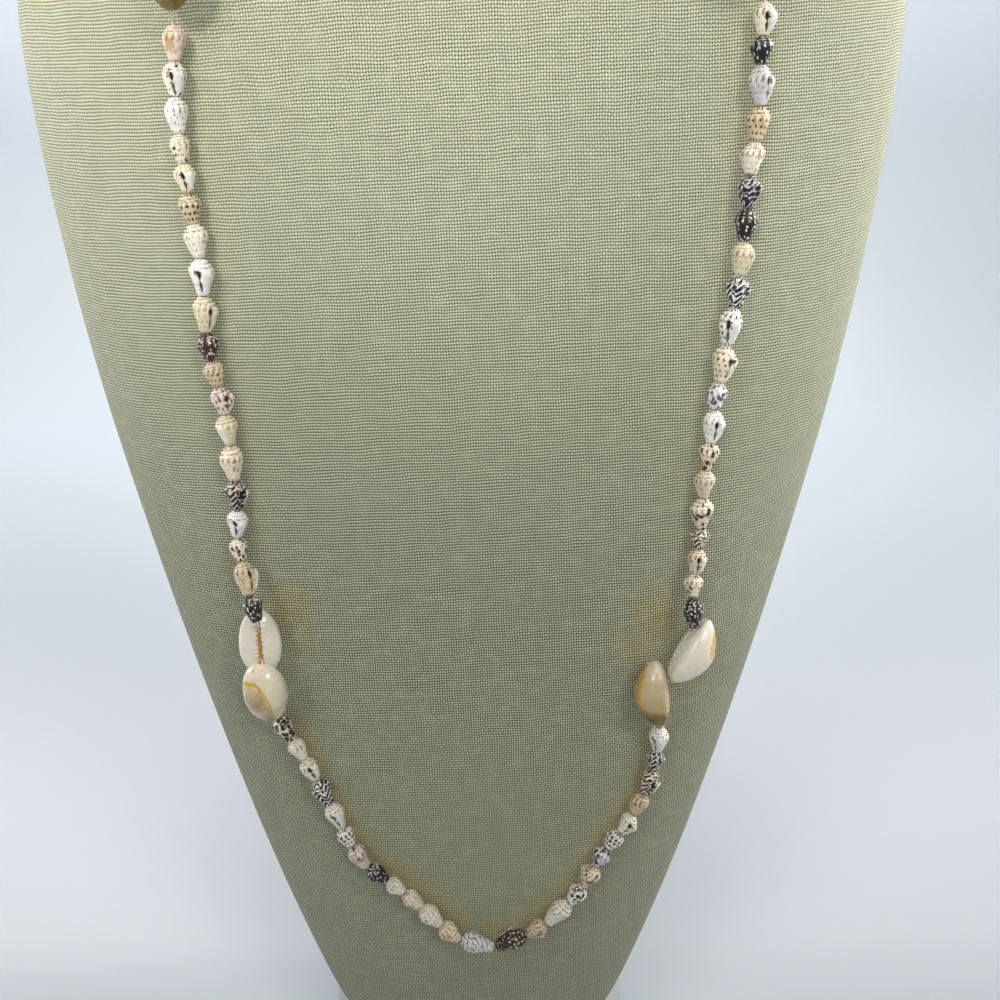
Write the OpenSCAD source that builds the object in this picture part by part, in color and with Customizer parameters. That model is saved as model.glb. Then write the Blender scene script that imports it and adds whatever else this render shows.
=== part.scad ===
// A long necklace of small dove shells and ring cowries on one thread, hung on a
// padded neck bust covered in linen. Millimetres, +Z up, the chest faces -Y,
// and the origin is the middle of the base disc's underside.

/* [Neck bust] */
// Widest part of the padded form, just under the shoulders
bust_w = 240; // [230:1:250]
// Height of the whole bust, from the table to the top of the neck
bust_h = 460; // [445:1:475]
// Diameter of the disc that the bust stands on
base_d = 104; // [98:1:108]
// Thickness of that disc
base_t = 12; // [10:1:14]

/* [Small shells] */
// Girth of a small shell of the usual length
shell_w = 6.0; // [5.6:0.1:6.2]
// Length that this girth belongs to
shell_l = 8.1; // [7.8:0.1:8.4]
// Diameter of the hole drilled along each small shell
hole_d = 1.5; // [1.3:0.1:1.7]
// Gap between the end of one small shell and the start of the next
shell_gap = 0.2; // [0.15:0.05:0.3]
// The same next to a cowrie, where the thread bends away
end_gap = 0.6; // [0.4:0.1:0.8]

/* [Cowries] */
// Width of a cowrie from margin to margin
cowrie_w = 11.7; // [11.3:0.1:12.1]
// Height of a cowrie's back above the line through its two ends
cowrie_back = 6.8; // [6.4:0.1:7.0]
// Height of its flat, toothed base below that line
cowrie_base = 3.2; // [3.0:0.1:3.4]
// Thickness of the cowrie's wall
cowrie_wall = 1.3; // [1.1:0.1:1.5]
// Width of the slit between its teeth
slit_w = 1.5; // [1.3:0.1:1.7]

/* [Thread] */
// Diameter of the thread
thread_d = 0.7; // [0.5:0.1:0.8]

/* [Hidden] */

linen = [0.74, 0.73, 0.62];
wood = [0.80, 0.76, 0.66];
thread_white = [0.93, 0.90, 0.82];
cowrie_white = [0.95, 0.92, 0.86];

// The tables below are drawn for a bust of this width and height.
drawn_w = 240;
drawn_h = 460;
wide = bust_w / drawn_w;
tall = bust_h / drawn_h;

// One row for each level of the padded form.
// Columns: height, half width, y of the widest line, depth in front of it,
// depth behind it, squareness of the outline (2 is an ellipse).
form_rows = [
    [12, 36, -18, 12, 44, 2.6],
    [28, 43.5, -25, 17, 58, 2.6],
    [50, 53, -24, 21, 64, 2.6],
    [90, 68, -19, 26, 64, 2.6],
    [140, 84, -12, 33, 60, 2.6],
    [190, 97.5, -7, 38, 56, 2.6],
    [240, 109, -3, 42, 52, 2.6],
    [290, 117, 0, 45, 48, 2.6],
    [330, 120, 1, 46, 46, 2.6],
    [350, 118.5, 1, 45.5, 45, 2.5],
    [364, 113, 1.5, 44, 43.5, 2.4],
    [376, 102, 2, 42, 42, 2.3],
    [385, 86, 2, 40, 40.5, 2.2],
    [392, 68, 2, 39, 39.5, 2.1],
    [400, 54, 2, 39, 39, 2],
    [412, 46.5, 2, 39, 39, 2],
    [434, 43, 2, 38, 38, 2],
    [456, 41.5, 2, 37, 37, 2],
    [460, 38.5, 2, 34, 34, 2]
];
form_steps = 2;
form_sides = 40;

// Stretches of the string on the chest, from the top down or from left to right.
// Columns: x, height, distance of the thread in front of the chest.
left_rows = [
    [-67.5, 329.5, 3.7],
    [-68.5, 318, 3.7],
    [-69, 305, 3.7],
    [-68, 290, 3.7],
    [-66.5, 272, 3.7],
    [-67, 256, 3.7],
    [-65, 242, 3.7],
    [-63, 226, 3.7],
    [-63, 208, 3.7],
    [-63.8, 199.5, 4],
    [-62.4, 193, 5.6],
    [-59.9, 184.4, 9.8],
    [-57.5, 178.2, 12.6]
];
right_rows = [
    [73, 333.5, 3.7],
    [73, 319, 3.7],
    [73.5, 309, 3.7],
    [72, 293, 3.7],
    [71.5, 277, 3.7],
    [70, 262, 3.7],
    [67, 241, 3.7],
    [65.5, 224, 3.7],
    [64.5, 208, 3.7],
    [64.5, 199, 3.8],
    [63.5, 192, 4.3],
    [62.5, 180.5, 7.4],
    [63, 173.4, 10.2]
];
arc_rows = [
    [-57, 145, 4.2],
    [-50, 132.5, 3.8],
    [-42.8, 117, 3.8],
    [-37, 103.5, 3.8],
    [-33, 96, 3.8],
    [-22, 87.5, 3.8],
    [-11, 76, 3.9],
    [-5, 70, 4.1],
    [5, 67, 4.3],
    [15, 71, 4.1],
    [22, 74.5, 3.8],
    [33, 86.5, 3.8],
    [40, 99.5, 3.8],
    [48, 110.5, 3.8],
    [54, 125.5, 3.8],
    [55, 141, 4.4]
];
// The hidden stretch over the left shoulder to the nape, mirrored for the right.
// Columns: x, y, height.
nape_rows = [
    [-62.5, -45, 369],
    [-61.5, -39.5, 375.5],
    [-61, -35.5, 382],
    [-60.5, -28, 390.5],
    [-59, -14.5, 398],
    [-58, 1, 402],
    [-53.5, 16, 402.5],
    [-45.5, 28.5, 401.5],
    [-33, 37.5, 399.5],
    [-18, 43, 399],
    [0, 45, 398.5]
];

// Colours of the small shells, by the letter that the charts below use.
shell_paints = [
    ["c", [0.93, 0.88, 0.72]],
    ["w", [0.95, 0.93, 0.90]],
    ["s", [0.88, 0.81, 0.68]],
    ["p", [0.90, 0.82, 0.78]],
    ["t", [0.83, 0.66, 0.46]],
    ["n", [0.22, 0.16, 0.15]],
    ["z", [0.34, 0.28, 0.30]]
];

// One row for each small shell, in order along its stretch.
// Columns: length, colour, angle of its mouth from straight outwards, to the right of
// an upright shell.
left_shells = [
    [8.5, "p", 150], [8, "s", 0], [8.5, "w", 190], [7, "s", 170], [7, "w", 5],
    [7.5, "s", 180], [8.5, "t", 200], [9.5, "w", 0], [9.5, "c", 60], [7.5, "n", 170],
    [7, "t", 185], [7.5, "p", 60], [8.5, "c", -60], [10, "s", 180], [8.5, "z", 60],
    [8, "w", 0], [7, "s", 175], [10, "t", 60], [8, "n", 180]
];
right_shells = [
    [8, "s", 10], [6.5, "n", 180], [9.5, "w", 50], [8.5, "t", 180], [8, "t", 190],
    [8, "z", 60], [8.5, "n", 175], [8.5, "c", 60], [8.5, "n", 60], [10, "w", -20],
    [10, "t", 40], [7.5, "s", 180], [9, "w", 20], [8, "s", 170], [8, "c", 180],
    [9, "s", 185], [6, "s", 175], [7.5, "w", 10], [6.5, "s", 180], [9.5, "n", 180]
];
arc_shells = [
    [9, "s", 180], [7, "w", 190], [7.5, "s", 20], [9, "z", 180], [8.5, "w", 0],
    [7, "w", 180], [8.5, "p", 170], [7.5, "n", 180], [6.5, "c", 150], [7.5, "t", 200],
    [8.5, "c", 160], [8, "t", 180], [11.5, "w", 185], [10.5, "n", 180], [7.5, "s", 30],
    [10, "w", 170], [7, "s", 180], [8, "t", 190], [7, "w", 175], [6.5, "s", 180],
    [7, "w", 10], [7.5, "t", 180], [8.5, "s", 20], [6.5, "n", 180], [9, "w", -40]
];
// From this shell on, those of the lower arc lie with their spires to the right.
arc_turned_from = 13;
// The nape repeats one run of shells, because nothing of it is seen.
nape_run = [
    [8.5, "s", 180], [7.5, "w", 20], [8.5, "c", 170], [7.5, "n", 180],
    [8, "t", 190], [9, "w", 10], [7.5, "p", 170]
];
nape_count = 35;
nape_shells = [for (i = [0 : nape_count - 1]) nape_run[i % len(nape_run)]];

// Small helpers for vectors and smooth lines.
function unit(v) = v / norm(v);
function across(v, along) = unit(v - (v * along) * along);
function last(list) = list[len(list) - 1];
function reversed(list) = [for (i = [len(list) - 1 : -1 : 0]) list[i]];

// A point of the smooth curve through p1 and p2, whose neighbours are p0 and p3.
function curve_point(p0, p1, p2, p3, f) =
    0.5 * (2 * p1 + (p2 - p0) * f
    + (2 * p0 - 5 * p1 + 4 * p2 - p3) * f * f
    + (3 * p1 - p0 - 3 * p2 + p3) * f * f * f);

function smooth_line(rows, steps) = [
    for (i = [0 : len(rows) - 2], k = [0 : steps - 1])
        curve_point(rows[max(i - 1, 0)], rows[i], rows[i + 1],
            rows[min(i + 2, len(rows) - 1)], k / steps),
    last(rows)
];

// The padded form, as smooth rows, and its front surface at any place.
fine_rows = smooth_line(form_rows, 6);
function column(c) = [for (r = fine_rows) [r[0], r[c]]];
half_width_at = column(1);
middle_at = column(2);
front_depth_at = column(3);
squareness_at = column(5);

function chest_y(x, z) =
    let (n = lookup(z, squareness_at))
    let (t = min(abs(x) / lookup(z, half_width_at), 1))
    lookup(z, middle_at) - lookup(z, front_depth_at) * pow(1 - pow(t, n), 1 / n);

// A point in front of the chest as drawn, and the same point on the bust as sized.
function on_chest(x, z, ahead) = [x * wide, chest_y(x, z) - ahead, z * tall];
function as_sized(p) = [p[0] * wide, p[1], p[2] * tall];

// The outline of the form at one row, as a ring of points.
function form_ring(r) = [
    for (i = [0 : form_sides - 1])
        let (a = 360 * i / form_sides)
        let (c = cos(a))
        let (s = sin(a))
        let (depth = s < 0 ? r[3] : r[4])
        [
            r[1] * sign(c) * pow(abs(c), 2 / r[5]) * wide,
            r[2] + depth * sign(s) * pow(abs(s), 2 / r[5]),
            r[0] * tall
        ]
];

module bust_form() {
    rings = [for (r = smooth_line(form_rows, form_steps)) form_ring(r)];
    m = len(rings);
    n = form_sides;
    lift = base_t - form_rows[0][0] * tall;
    points = [for (ring = rings, p = ring) [p[0], p[1], p[2] + lift * (1 - p[2] / bust_h)]];
    walls = [
        for (j = [0 : m - 2], i = [0 : n - 1])
            let (a = j * n + i)
            let (b = j * n + (i + 1) % n)
            each [[a, a + n, b + n], [a, b + n, b]]
    ];
    under = [for (i = [0 : n - 1]) i];
    top = [for (i = [n - 1 : -1 : 0]) (m - 1) * n + i];
    color(linen) polyhedron(points, concat(walls, [under, top]));
}

module base_disc() {
    edge = 1.5;
    color(wood)
        rotate_extrude($fn = 96)
            polygon([
                [0, 0],
                [base_d / 2 - edge, 0],
                [base_d / 2, edge],
                [base_d / 2, base_t - edge],
                [base_d / 2 - edge, base_t],
                [0, base_t]
            ]);
}

// The places where one small shell ends and the next starts.
function chest_line(rows) = smooth_line([for (r = rows) on_chest(r[0], r[1], r[2])], 5);
nape_half = [for (r = nape_rows) as_sized(r)];
nape_other = [for (r = nape_half) [-r[0], r[1], r[2]]];
nape_line = smooth_line(
    concat(nape_half, [for (i = [len(nape_other) - 2 : -1 : 0]) nape_other[i]]), 4);

function running_length(line) = [
    for (i = 0, s = 0; i < len(line);
        s = s + (i < len(line) - 1 ? norm(line[i + 1] - line[i]) : 0), i = i + 1) s
];
function shell_starts(shells) = [
    for (i = 0, s = 0; i <= len(shells);
        s = s + (i < len(shells) ? shells[i][0] : 0), i = i + 1) s
];
function joints(line, shells) =
    let (s = running_length(line))
    let (x = [for (i = [0 : len(line) - 1]) [s[i], line[i][0]]])
    let (y = [for (i = [0 : len(line) - 1]) [s[i], line[i][1]]])
    let (z = [for (i = [0 : len(line) - 1]) [s[i], line[i][2]]])
    let (at = shell_starts(shells))
    let (stretch = last(s) / last(at))
    [for (a = at) [lookup(a * stretch, x), lookup(a * stretch, y), lookup(a * stretch, z)]];

left_joints = joints(chest_line(left_rows), left_shells);
right_joints = joints(chest_line(right_rows), right_shells);
arc_joints = joints(chest_line(arc_rows), arc_shells);
nape_joints = joints(nape_line, nape_shells);

// Directions that a shell's mouth is turned from, on the chest and on the nape.
out_chest = [0, -1, 0];
out_nape = [0, 0.5, 0.87];

// Turns and moves a child from the z axis onto the line from p to q.
module lay(p, q, out) {
    z = unit(q - p);
    x = across(out, z);
    y = cross(z, x);
    multmatrix([
        [x[0], y[0], z[0], p[0]],
        [x[1], y[1], z[1], p[1]],
        [x[2], y[2], z[2], p[2]],
        [0, 0, 0, 1]
    ]) children();
}

// A dove shell from its drilled spire at 0 to its narrow end at length l:
// a body of revolution, with the thick lip beside its mouth.
module small_shell(l, turn) {
    w = shell_w + 0.24 * (l - shell_l);
    r = hole_d / 2;
    lip_angle = 50;
    rotate([0, 0, -turn]) {
        rotate_extrude($fn = 32)
            polygon([
                [r, 0],
                [0.18 * w, 0],
                [0.36 * w, 0.13 * l],
                [0.46 * w, 0.25 * l],
                [0.5 * w, 0.37 * l],
                [0.47 * w, 0.52 * l],
                [0.36 * w, 0.72 * l],
                [0.24 * w, 0.9 * l],
                [0.19 * w, l],
                [r, l]
            ]);
        rotate([0, 0, -20 - lip_angle])
            rotate_extrude(angle = lip_angle, $fn = 32)
                polygon([
                    [0.3 * w, 0.3 * l],
                    [0.53 * w, 0.35 * l],
                    [0.54 * w, 0.5 * l],
                    [0.44 * w, 0.72 * l],
                    [0.31 * w, 0.9 * l],
                    [0.2 * w, 0.93 * l]
                ]);
    }
}

function paint(letter) = [for (p = shell_paints) if (p[0] == letter) p[1]][0];

// What a shell gives up at one end, so that the next clears it where the string bends.
end_radius = 0.2 * shell_w;
function give(places, i) =
    i == 0 || i == len(places) - 1 ? end_gap :
    let (cosine = unit(places[i + 1] - places[i]) * unit(places[i] - places[i - 1]))
    shell_gap / 2 + end_radius * tan(acos(min(cosine, 1)) / 2);

module stretch_of_shells(places, shells, out, turned_from = 999) {
    for (i = [0 : len(shells) - 1]) {
        along = unit(places[i + 1] - places[i]);
        p = places[i] + along * give(places, i);
        q = places[i + 1] - along * give(places, i + 1);
        turned = i >= turned_from;
        color(paint(shells[i][1]))
            lay(turned ? q : p, turned ? p : q, out)
                small_shell(norm(q - p), shells[i][2]);
    }
}

module front_shells() {
    stretch_of_shells(left_joints, left_shells, out_chest);
    stretch_of_shells(arc_joints, arc_shells, out_chest, arc_turned_from);
    stretch_of_shells(right_joints, right_shells, out_chest);
}

module back_shells() {
    stretch_of_shells(nape_joints, nape_shells, out_nape);
}

// One row for each cowrie: its upper end, its lower end, the way its base faces, and
// how much it broadens towards its lower end, or narrows if this is below zero.
// The ends' columns: x, height, distance in front of the chest.
cowrie_rows = [
    [[-59.5, 179.6, 6], [-58.3, 160.7, 8], [0.2, -1, 0], 0.08],
    [[-58.3, 166, 13.5], [-56.4, 146.4, 8.5], [0, 1, 0], -0.12],
    [[67.8, 174.8, 7.5], [57.3, 157.2, 8], [-0.82, 0.06, 0.57], 0.05],
    [[52.5, 163.2, 6.5], [54.4, 143.2, 8], [1, 0, 0], -0.05],
    [[-64.2, 368, 7], [-64.5, 349.5, 8], [0, -1, 0], 0.08],
    [[-64.5, 350.8, 13.5], [-66.6, 331.4, 8.4], [0, 1, 0], -0.12],
    [[65.2, 369.3, 7], [67.7, 351.3, 8], [0, -1, 0], 0.08],
    [[67.2, 355.8, 13.5], [71.8, 336.8, 8.4], [0, 1, 0], -0.12]
];
left_upper = 0;
left_lower = 1;
right_upper = 2;
right_lower = 3;
left_shoulder_upper = 4;
left_shoulder_lower = 5;
right_shoulder_upper = 6;
right_shoulder_lower = 7;

function upper_end(c) = let (e = cowrie_rows[c][0]) on_chest(e[0], e[1], e[2]);
function lower_end(c) = let (e = cowrie_rows[c][1]) on_chest(e[0], e[1], e[2]);

// How broad a cowrie and its base are at a place from -1, its upper end, to 1, its
// lower end, against its middle, and how far its back stands out there. The back
// tapers more than the base. The ends are cut off just before they close.
cut = 0.96;
function breadth(s) = pow(1 - pow(abs(s) * cut, 2.1), 0.55);
function arch(s) = pow(1 - pow(abs(s) * cut, 1.7), 0.8);

// Points of a cowrie in the world: on its axis, just outside its slit, and in the
// notch where the slit runs out at its end.
off_base = 0.5;
notch_floor = 0.3;
function core(c, s) =
    let (a = upper_end(c))
    let (b = lower_end(c))
    (a + b) / 2 + (b - a) / 2 * s;
function mouth(c, s) =
    let (along = unit(lower_end(c) - upper_end(c)))
    core(c, s) + across(cowrie_rows[c][2], along) * (cowrie_base * breadth(s) + off_base);
function notch(c, s) =
    let (along = unit(lower_end(c) - upper_end(c)))
    core(c, s) + across(cowrie_rows[c][2], along) * notch_floor;

cowrie_stations = 12;
cowrie_sides = 15;

// Half of a cross-section's closed outline: the wall's outer or inner face,
// from one edge of the slit round the back to the other edge.
function cowrie_face(half_w, back, base, gap) =
    let (start = asin(min(gap / half_w, 0.95)))
    [
        for (i = [0 : cowrie_sides - 1])
            let (a = start + (360 - 2 * start) * i / (cowrie_sides - 1))
            let (c = cos(a))
            [
                (c > 0 ? base * pow(c, 0.6) : -back * pow(-c, 0.8)),
                half_w * sin(a)
            ]
    ];
// Both faces at one place; towards the ends the wall thins with the base.
function cowrie_section(c, s, z) =
    let (half_w = cowrie_w / 2 * breadth(s) * (1 + cowrie_rows[c][3] * s))
    let (back = cowrie_back * arch(s))
    let (base = cowrie_base * breadth(s))
    let (wall = min(cowrie_wall, 0.4 * base))
    let (outer = cowrie_face(half_w, back, base, slit_w / 2))
    let (inner = cowrie_face(half_w - wall, back - wall, base - wall, slit_w / 2))
    [for (p = concat(outer, reversed(inner))) [p[0], p[1], z]];

// A hollow ring cowrie, slit along its base and open at both ends for the thread.
module cowrie(c) {
    a = upper_end(c);
    b = lower_end(c);
    length = norm(b - a);
    n = cowrie_sides * 2;
    m = cowrie_stations;
    stations = [for (j = [0 : m - 1]) -cos(180 * j / (m - 1))];
    points = [for (s = stations, p = cowrie_section(c, s, (s + 1) * length / 2)) p];
    walls = [
        for (j = [0 : m - 2], i = [0 : n - 1])
            let (p = j * n + i)
            let (q = j * n + (i + 1) % n)
            each [[p, p + n, q + n], [p, q + n, q]]
    ];
    upper_rim = [
        for (i = [0 : cowrie_sides - 2])
            each [[i, i + 1, n - 2 - i], [i, n - 2 - i, n - 1 - i]]
    ];
    lower_rim = [for (t = upper_rim) [for (k = reversed(t)) k + (m - 1) * n]];
    color(cowrie_white)
        lay(a, b, cowrie_rows[c][2])
            polyhedron(points, concat(walls, upper_rim, lower_rim));
}

// The thread's bends, once round the loop: straight through every small shell, in at
// one cowrie's slit, across to its partner's slit and out at the partner's end.
// It crosses over where the two overlap, and runs out of the first one's end where
// that end touches the other's side.
function into(c) = [mouth(c, -0.5), core(c, -0.25), core(c, 0.4)];
function out_of(c) = [core(c, 0.5), notch(c, 1)];
function overlapped(upper, lower) = concat(
    into(upper),
    [mouth(upper, 0.7), mouth(lower, -0.75), core(lower, -0.45)],
    out_of(lower)
);
function touching(upper, lower) = concat(
    into(upper),
    [notch(upper, 1), mouth(lower, -0.4), core(lower, -0.1)],
    out_of(lower)
);
thread_line = concat(
    left_joints,
    overlapped(left_upper, left_lower),
    arc_joints,
    reversed(touching(right_upper, right_lower)),
    reversed(right_joints),
    reversed(overlapped(right_shoulder_upper, right_shoulder_lower)),
    reversed(nape_joints),
    overlapped(left_shoulder_upper, left_shoulder_lower)
);

thread_sides = 8;

module thread() {
    line = thread_line;
    n = len(line);
    along = [
        for (i = [0 : n - 1])
            unit(unit(line[(i + 1) % n] - line[i]) + unit(line[i] - line[(i + n - 1) % n]))
    ];
    side = [for (i = 0, u = across([1, 0, 0], along[0]); i < n;
        i = i + 1, u = across(u, along[i % n])) u];
    closing = across(last(side), along[0]);
    twist = atan2(cross(side[0], closing) * along[0], side[0] * closing);
    shift = round(twist * thread_sides / 360);
    points = [
        for (i = [0 : n - 1], k = [0 : thread_sides - 1])
            let (a = 360 * k / thread_sides)
            line[i] + thread_d / 2 * (cos(a) * side[i] + sin(a) * cross(along[i], side[i]))
    ];
    walls = [
        for (i = [0 : n - 1], k = [0 : thread_sides - 1])
            let (turn = i == n - 1 ? shift + thread_sides : 0)
            let (next = (i + 1) % n * thread_sides)
            let (p = i * thread_sides + k)
            let (q = i * thread_sides + (k + 1) % thread_sides)
            let (pn = next + (k + turn) % thread_sides)
            let (qn = next + (k + 1 + turn) % thread_sides)
            each [[p, pn, qn], [p, qn, q]]
    ];
    color(thread_white) polyhedron(points, walls);
}

bust_form();
base_disc();
thread();
front_shells();
back_shells();
cowrie(left_upper);  // cowrie_left_upper
cowrie(left_lower);  // cowrie_left_lower
cowrie(right_upper);  // cowrie_right_upper
cowrie(right_lower);  // cowrie_right_lower
cowrie(left_shoulder_upper);  // cowrie_left_shoulder_upper
cowrie(left_shoulder_lower);  // cowrie_left_shoulder_lower
cowrie(right_shoulder_upper);  // cowrie_right_shoulder_upper
cowrie(right_shoulder_lower);  // cowrie_right_shoulder_lower
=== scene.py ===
"""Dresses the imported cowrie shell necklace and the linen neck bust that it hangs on."""

import math

import bpy
import numpy as np
from mathutils import Matrix, Vector


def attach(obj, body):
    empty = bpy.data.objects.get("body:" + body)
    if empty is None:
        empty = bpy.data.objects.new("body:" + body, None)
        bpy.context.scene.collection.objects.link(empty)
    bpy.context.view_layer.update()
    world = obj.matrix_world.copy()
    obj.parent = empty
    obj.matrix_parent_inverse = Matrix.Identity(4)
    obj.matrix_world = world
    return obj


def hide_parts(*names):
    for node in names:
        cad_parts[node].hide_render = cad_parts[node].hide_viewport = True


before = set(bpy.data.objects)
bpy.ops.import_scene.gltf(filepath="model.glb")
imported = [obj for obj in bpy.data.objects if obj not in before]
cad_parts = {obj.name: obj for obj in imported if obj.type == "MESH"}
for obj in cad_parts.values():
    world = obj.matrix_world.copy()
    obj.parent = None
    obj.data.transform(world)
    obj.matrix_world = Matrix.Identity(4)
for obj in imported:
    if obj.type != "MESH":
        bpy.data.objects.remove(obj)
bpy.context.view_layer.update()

bl_info = {
    "name": "Cowrie shell necklace",
    "version": (1, 0, 0),
    "blender": (4, 5, 0),
    "location": "3D View > Sidebar > Necklace",
    "description": "Dove shells and ring cowries on one thread, hung on a linen neck bust",
    "category": "Add Mesh",
}


def linear(red, green, blue):
    """A screen colour from 0 to 255 as the linear numbers that shaders mix."""
    share = np.array([red, green, blue]) / 255
    return tuple(np.where(share > 0.04045, ((share + 0.055) / 1.055) ** 2.4, share / 12.92))


# Tables, in millimetres.

# The padded form. Columns: height, half width, y of the widest line, depth in front
# of it, depth behind it, squareness of the outline, where 2 is an ellipse.
FORM_ROWS = [
    [12, 36, -18, 12, 44, 2.6],
    [28, 43.5, -25, 17, 58, 2.6],
    [50, 53, -24, 21, 64, 2.6],
    [90, 68, -19, 26, 64, 2.6],
    [140, 84, -12, 33, 60, 2.6],
    [190, 97.5, -7, 38, 56, 2.6],
    [240, 109, -3, 42, 52, 2.6],
    [290, 117, 0, 45, 48, 2.6],
    [330, 120, 1, 46, 46, 2.6],
    [350, 118.5, 1, 45.5, 45, 2.5],
    [364, 113, 1.5, 44, 43.5, 2.4],
    [376, 102, 2, 42, 42, 2.3],
    [385, 86, 2, 40, 40.5, 2.2],
    [392, 68, 2, 39, 39.5, 2.1],
    [400, 54, 2, 39, 39, 2],
    [412, 46.5, 2, 39, 39, 2],
    [434, 43, 2, 38, 38, 2],
    [456, 41.5, 2, 37, 37, 2],
    [460, 38.5, 2, 34, 34, 2],
]

# Stretches of the string on the chest. Columns: x, height, distance before the chest.
LEFT_ROWS = [
    [-67.5, 329.5, 3.7], [-68.5, 318, 3.7], [-69, 305, 3.7], [-68, 290, 3.7],
    [-66.5, 272, 3.7], [-67, 256, 3.7], [-65, 242, 3.7], [-63, 226, 3.7],
    [-63, 208, 3.7], [-63.8, 199.5, 4], [-62.4, 193, 5.6], [-59.9, 184.4, 9.8],
    [-57.5, 178.2, 12.6],
]
RIGHT_ROWS = [
    [73, 333.5, 3.7], [73, 319, 3.7], [73.5, 309, 3.7], [72, 293, 3.7],
    [71.5, 277, 3.7], [70, 262, 3.7], [67, 241, 3.7], [65.5, 224, 3.7],
    [64.5, 208, 3.7], [64.5, 199, 3.8], [63.5, 192, 4.3], [62.5, 180.5, 7.4],
    [63, 173.4, 10.2],
]
ARC_ROWS = [
    [-57, 145, 4.2], [-50, 132.5, 3.8], [-42.8, 117, 3.8], [-37, 103.5, 3.8],
    [-33, 96, 3.8], [-22, 87.5, 3.8], [-11, 76, 3.9], [-5, 70, 4.1],
    [5, 67, 4.3], [15, 71, 4.1], [22, 74.5, 3.8], [33, 86.5, 3.8],
    [40, 99.5, 3.8], [48, 110.5, 3.8], [54, 125.5, 3.8], [55, 141, 4.4],
]
# Half of the hidden stretch over the shoulder to the nape. Columns: x, y, height.
NAPE_ROWS = [
    [-62.5, -45, 369], [-61.5, -39.5, 375.5], [-61, -35.5, 382], [-60.5, -28, 390.5],
    [-59, -14.5, 398], [-58, 1, 402], [-53.5, 16, 402.5], [-45.5, 28.5, 401.5],
    [-33, 37.5, 399.5], [-18, 43, 399], [0, 45, 398.5],
]

# Ground and mark colours of the small shells.
PAINTS = {
    "white": linear(247, 245, 240),
    "ivory": linear(245, 239, 222),
    "cream": linear(241, 231, 205),
    "yellow": linear(228, 218, 184),
    "beige": linear(224, 211, 187),
    "tan": linear(214, 196, 162),
    "orange": linear(216, 198, 162),
    "pink": linear(233, 216, 208),
    "lilac": linear(221, 213, 223),
    "grey": linear(208, 207, 208),
    "black": linear(22, 17, 19),
    "dark": linear(56, 37, 30),
    "maroon": linear(62, 26, 26),
    "brown": linear(116, 76, 48),
    "golden": linear(200, 158, 102),
    "slate": linear(98, 98, 116),
    "haze": linear(168, 174, 192),
}

# One row for each small shell in order along its stretch. Columns: length, angle of
# its mouth from straight outwards, ground, marks, their pattern, how strong they are,
# how much of it a golden patch takes.
LEFT_SHELLS = [
    [8.5, 150, "pink", "golden", "spots", 0.5, 0.6],
    [8, 0, "ivory", "dark", "spots", 0.6, 0.1],
    [8.5, 190, "white", "slate", "spots", 0.35, 0],
    [7, 170, "cream", "dark", "spots", 0.7, 0],
    [7, 5, "cream", "dark", "spots", 0.3, 0],
    [7.5, 180, "tan", "dark", "dashes", 0.9, 0.2],
    [8.5, 200, "ivory", "brown", "spots", 0.45, 0.4],
    [9.5, 0, "white", "brown", "plain", 0, 0],
    [9.5, 60, "yellow", "brown", "plain", 0, 0],
    [7.5, 170, "ivory", "maroon", "net", 0.95, 0],
    [7, 185, "orange", "brown", "dashes", 0.5, 0.3],
    [7.5, 60, "pink", "brown", "spots", 0.65, 0],
    [8.5, -60, "yellow", "brown", "plain", 0, 0],
    [10, 180, "cream", "golden", "spots", 0.6, 0],
    [8.5, 60, "pink", "black", "zigzag", 1, 0],
    [8, 0, "white", "brown", "plain", 0, 0],
    [7, 175, "cream", "dark", "spots", 1, 0],
    [10, 60, "tan", "brown", "spots", 0.3, 0.4],
    [8, 180, "white", "black", "net", 1, 0],
]
RIGHT_SHELLS = [
    [8, 10, "cream", "dark", "spots", 0.3, 0],
    [6.5, 180, "white", "black", "net", 0.95, 0],
    [9.5, 50, "grey", "brown", "spots", 0.25, 0],
    [8.5, 180, "orange", "brown", "dashes", 0.6, 0.2],
    [8, 190, "ivory", "brown", "spots", 0.2, 0.6],
    [8, 60, "lilac", "black", "zigzag", 1, 0],
    [8.5, 175, "white", "black", "net", 1, 0],
    [8.5, 60, "yellow", "brown", "plain", 0, 0],
    [8.5, 60, "white", "black", "zigzag", 0.9, 0],
    [10, -20, "white", "black", "dashes", 0.6, 0],
    [10, 40, "cream", "brown", "dashes", 0.5, 0.2],
    [7.5, 180, "white", "slate", "spots", 0.9, 0],
    [9, 20, "white", "brown", "spots", 0.3, 0],
    [8, 170, "cream", "dark", "spots", 0.9, 0.7],
    [8, 180, "beige", "brown", "plain", 0, 0],
    [9, 185, "cream", "dark", "spots", 0.9, 0],
    [6, 175, "cream", "dark", "zigzag", 0.6, 0],
    [7.5, 10, "beige", "brown", "spots", 0.5, 0],
    [6.5, 180, "cream", "dark", "spots", 0.6, 0.5],
    [9.5, 180, "white", "black", "net", 0.95, 0],
]
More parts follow.
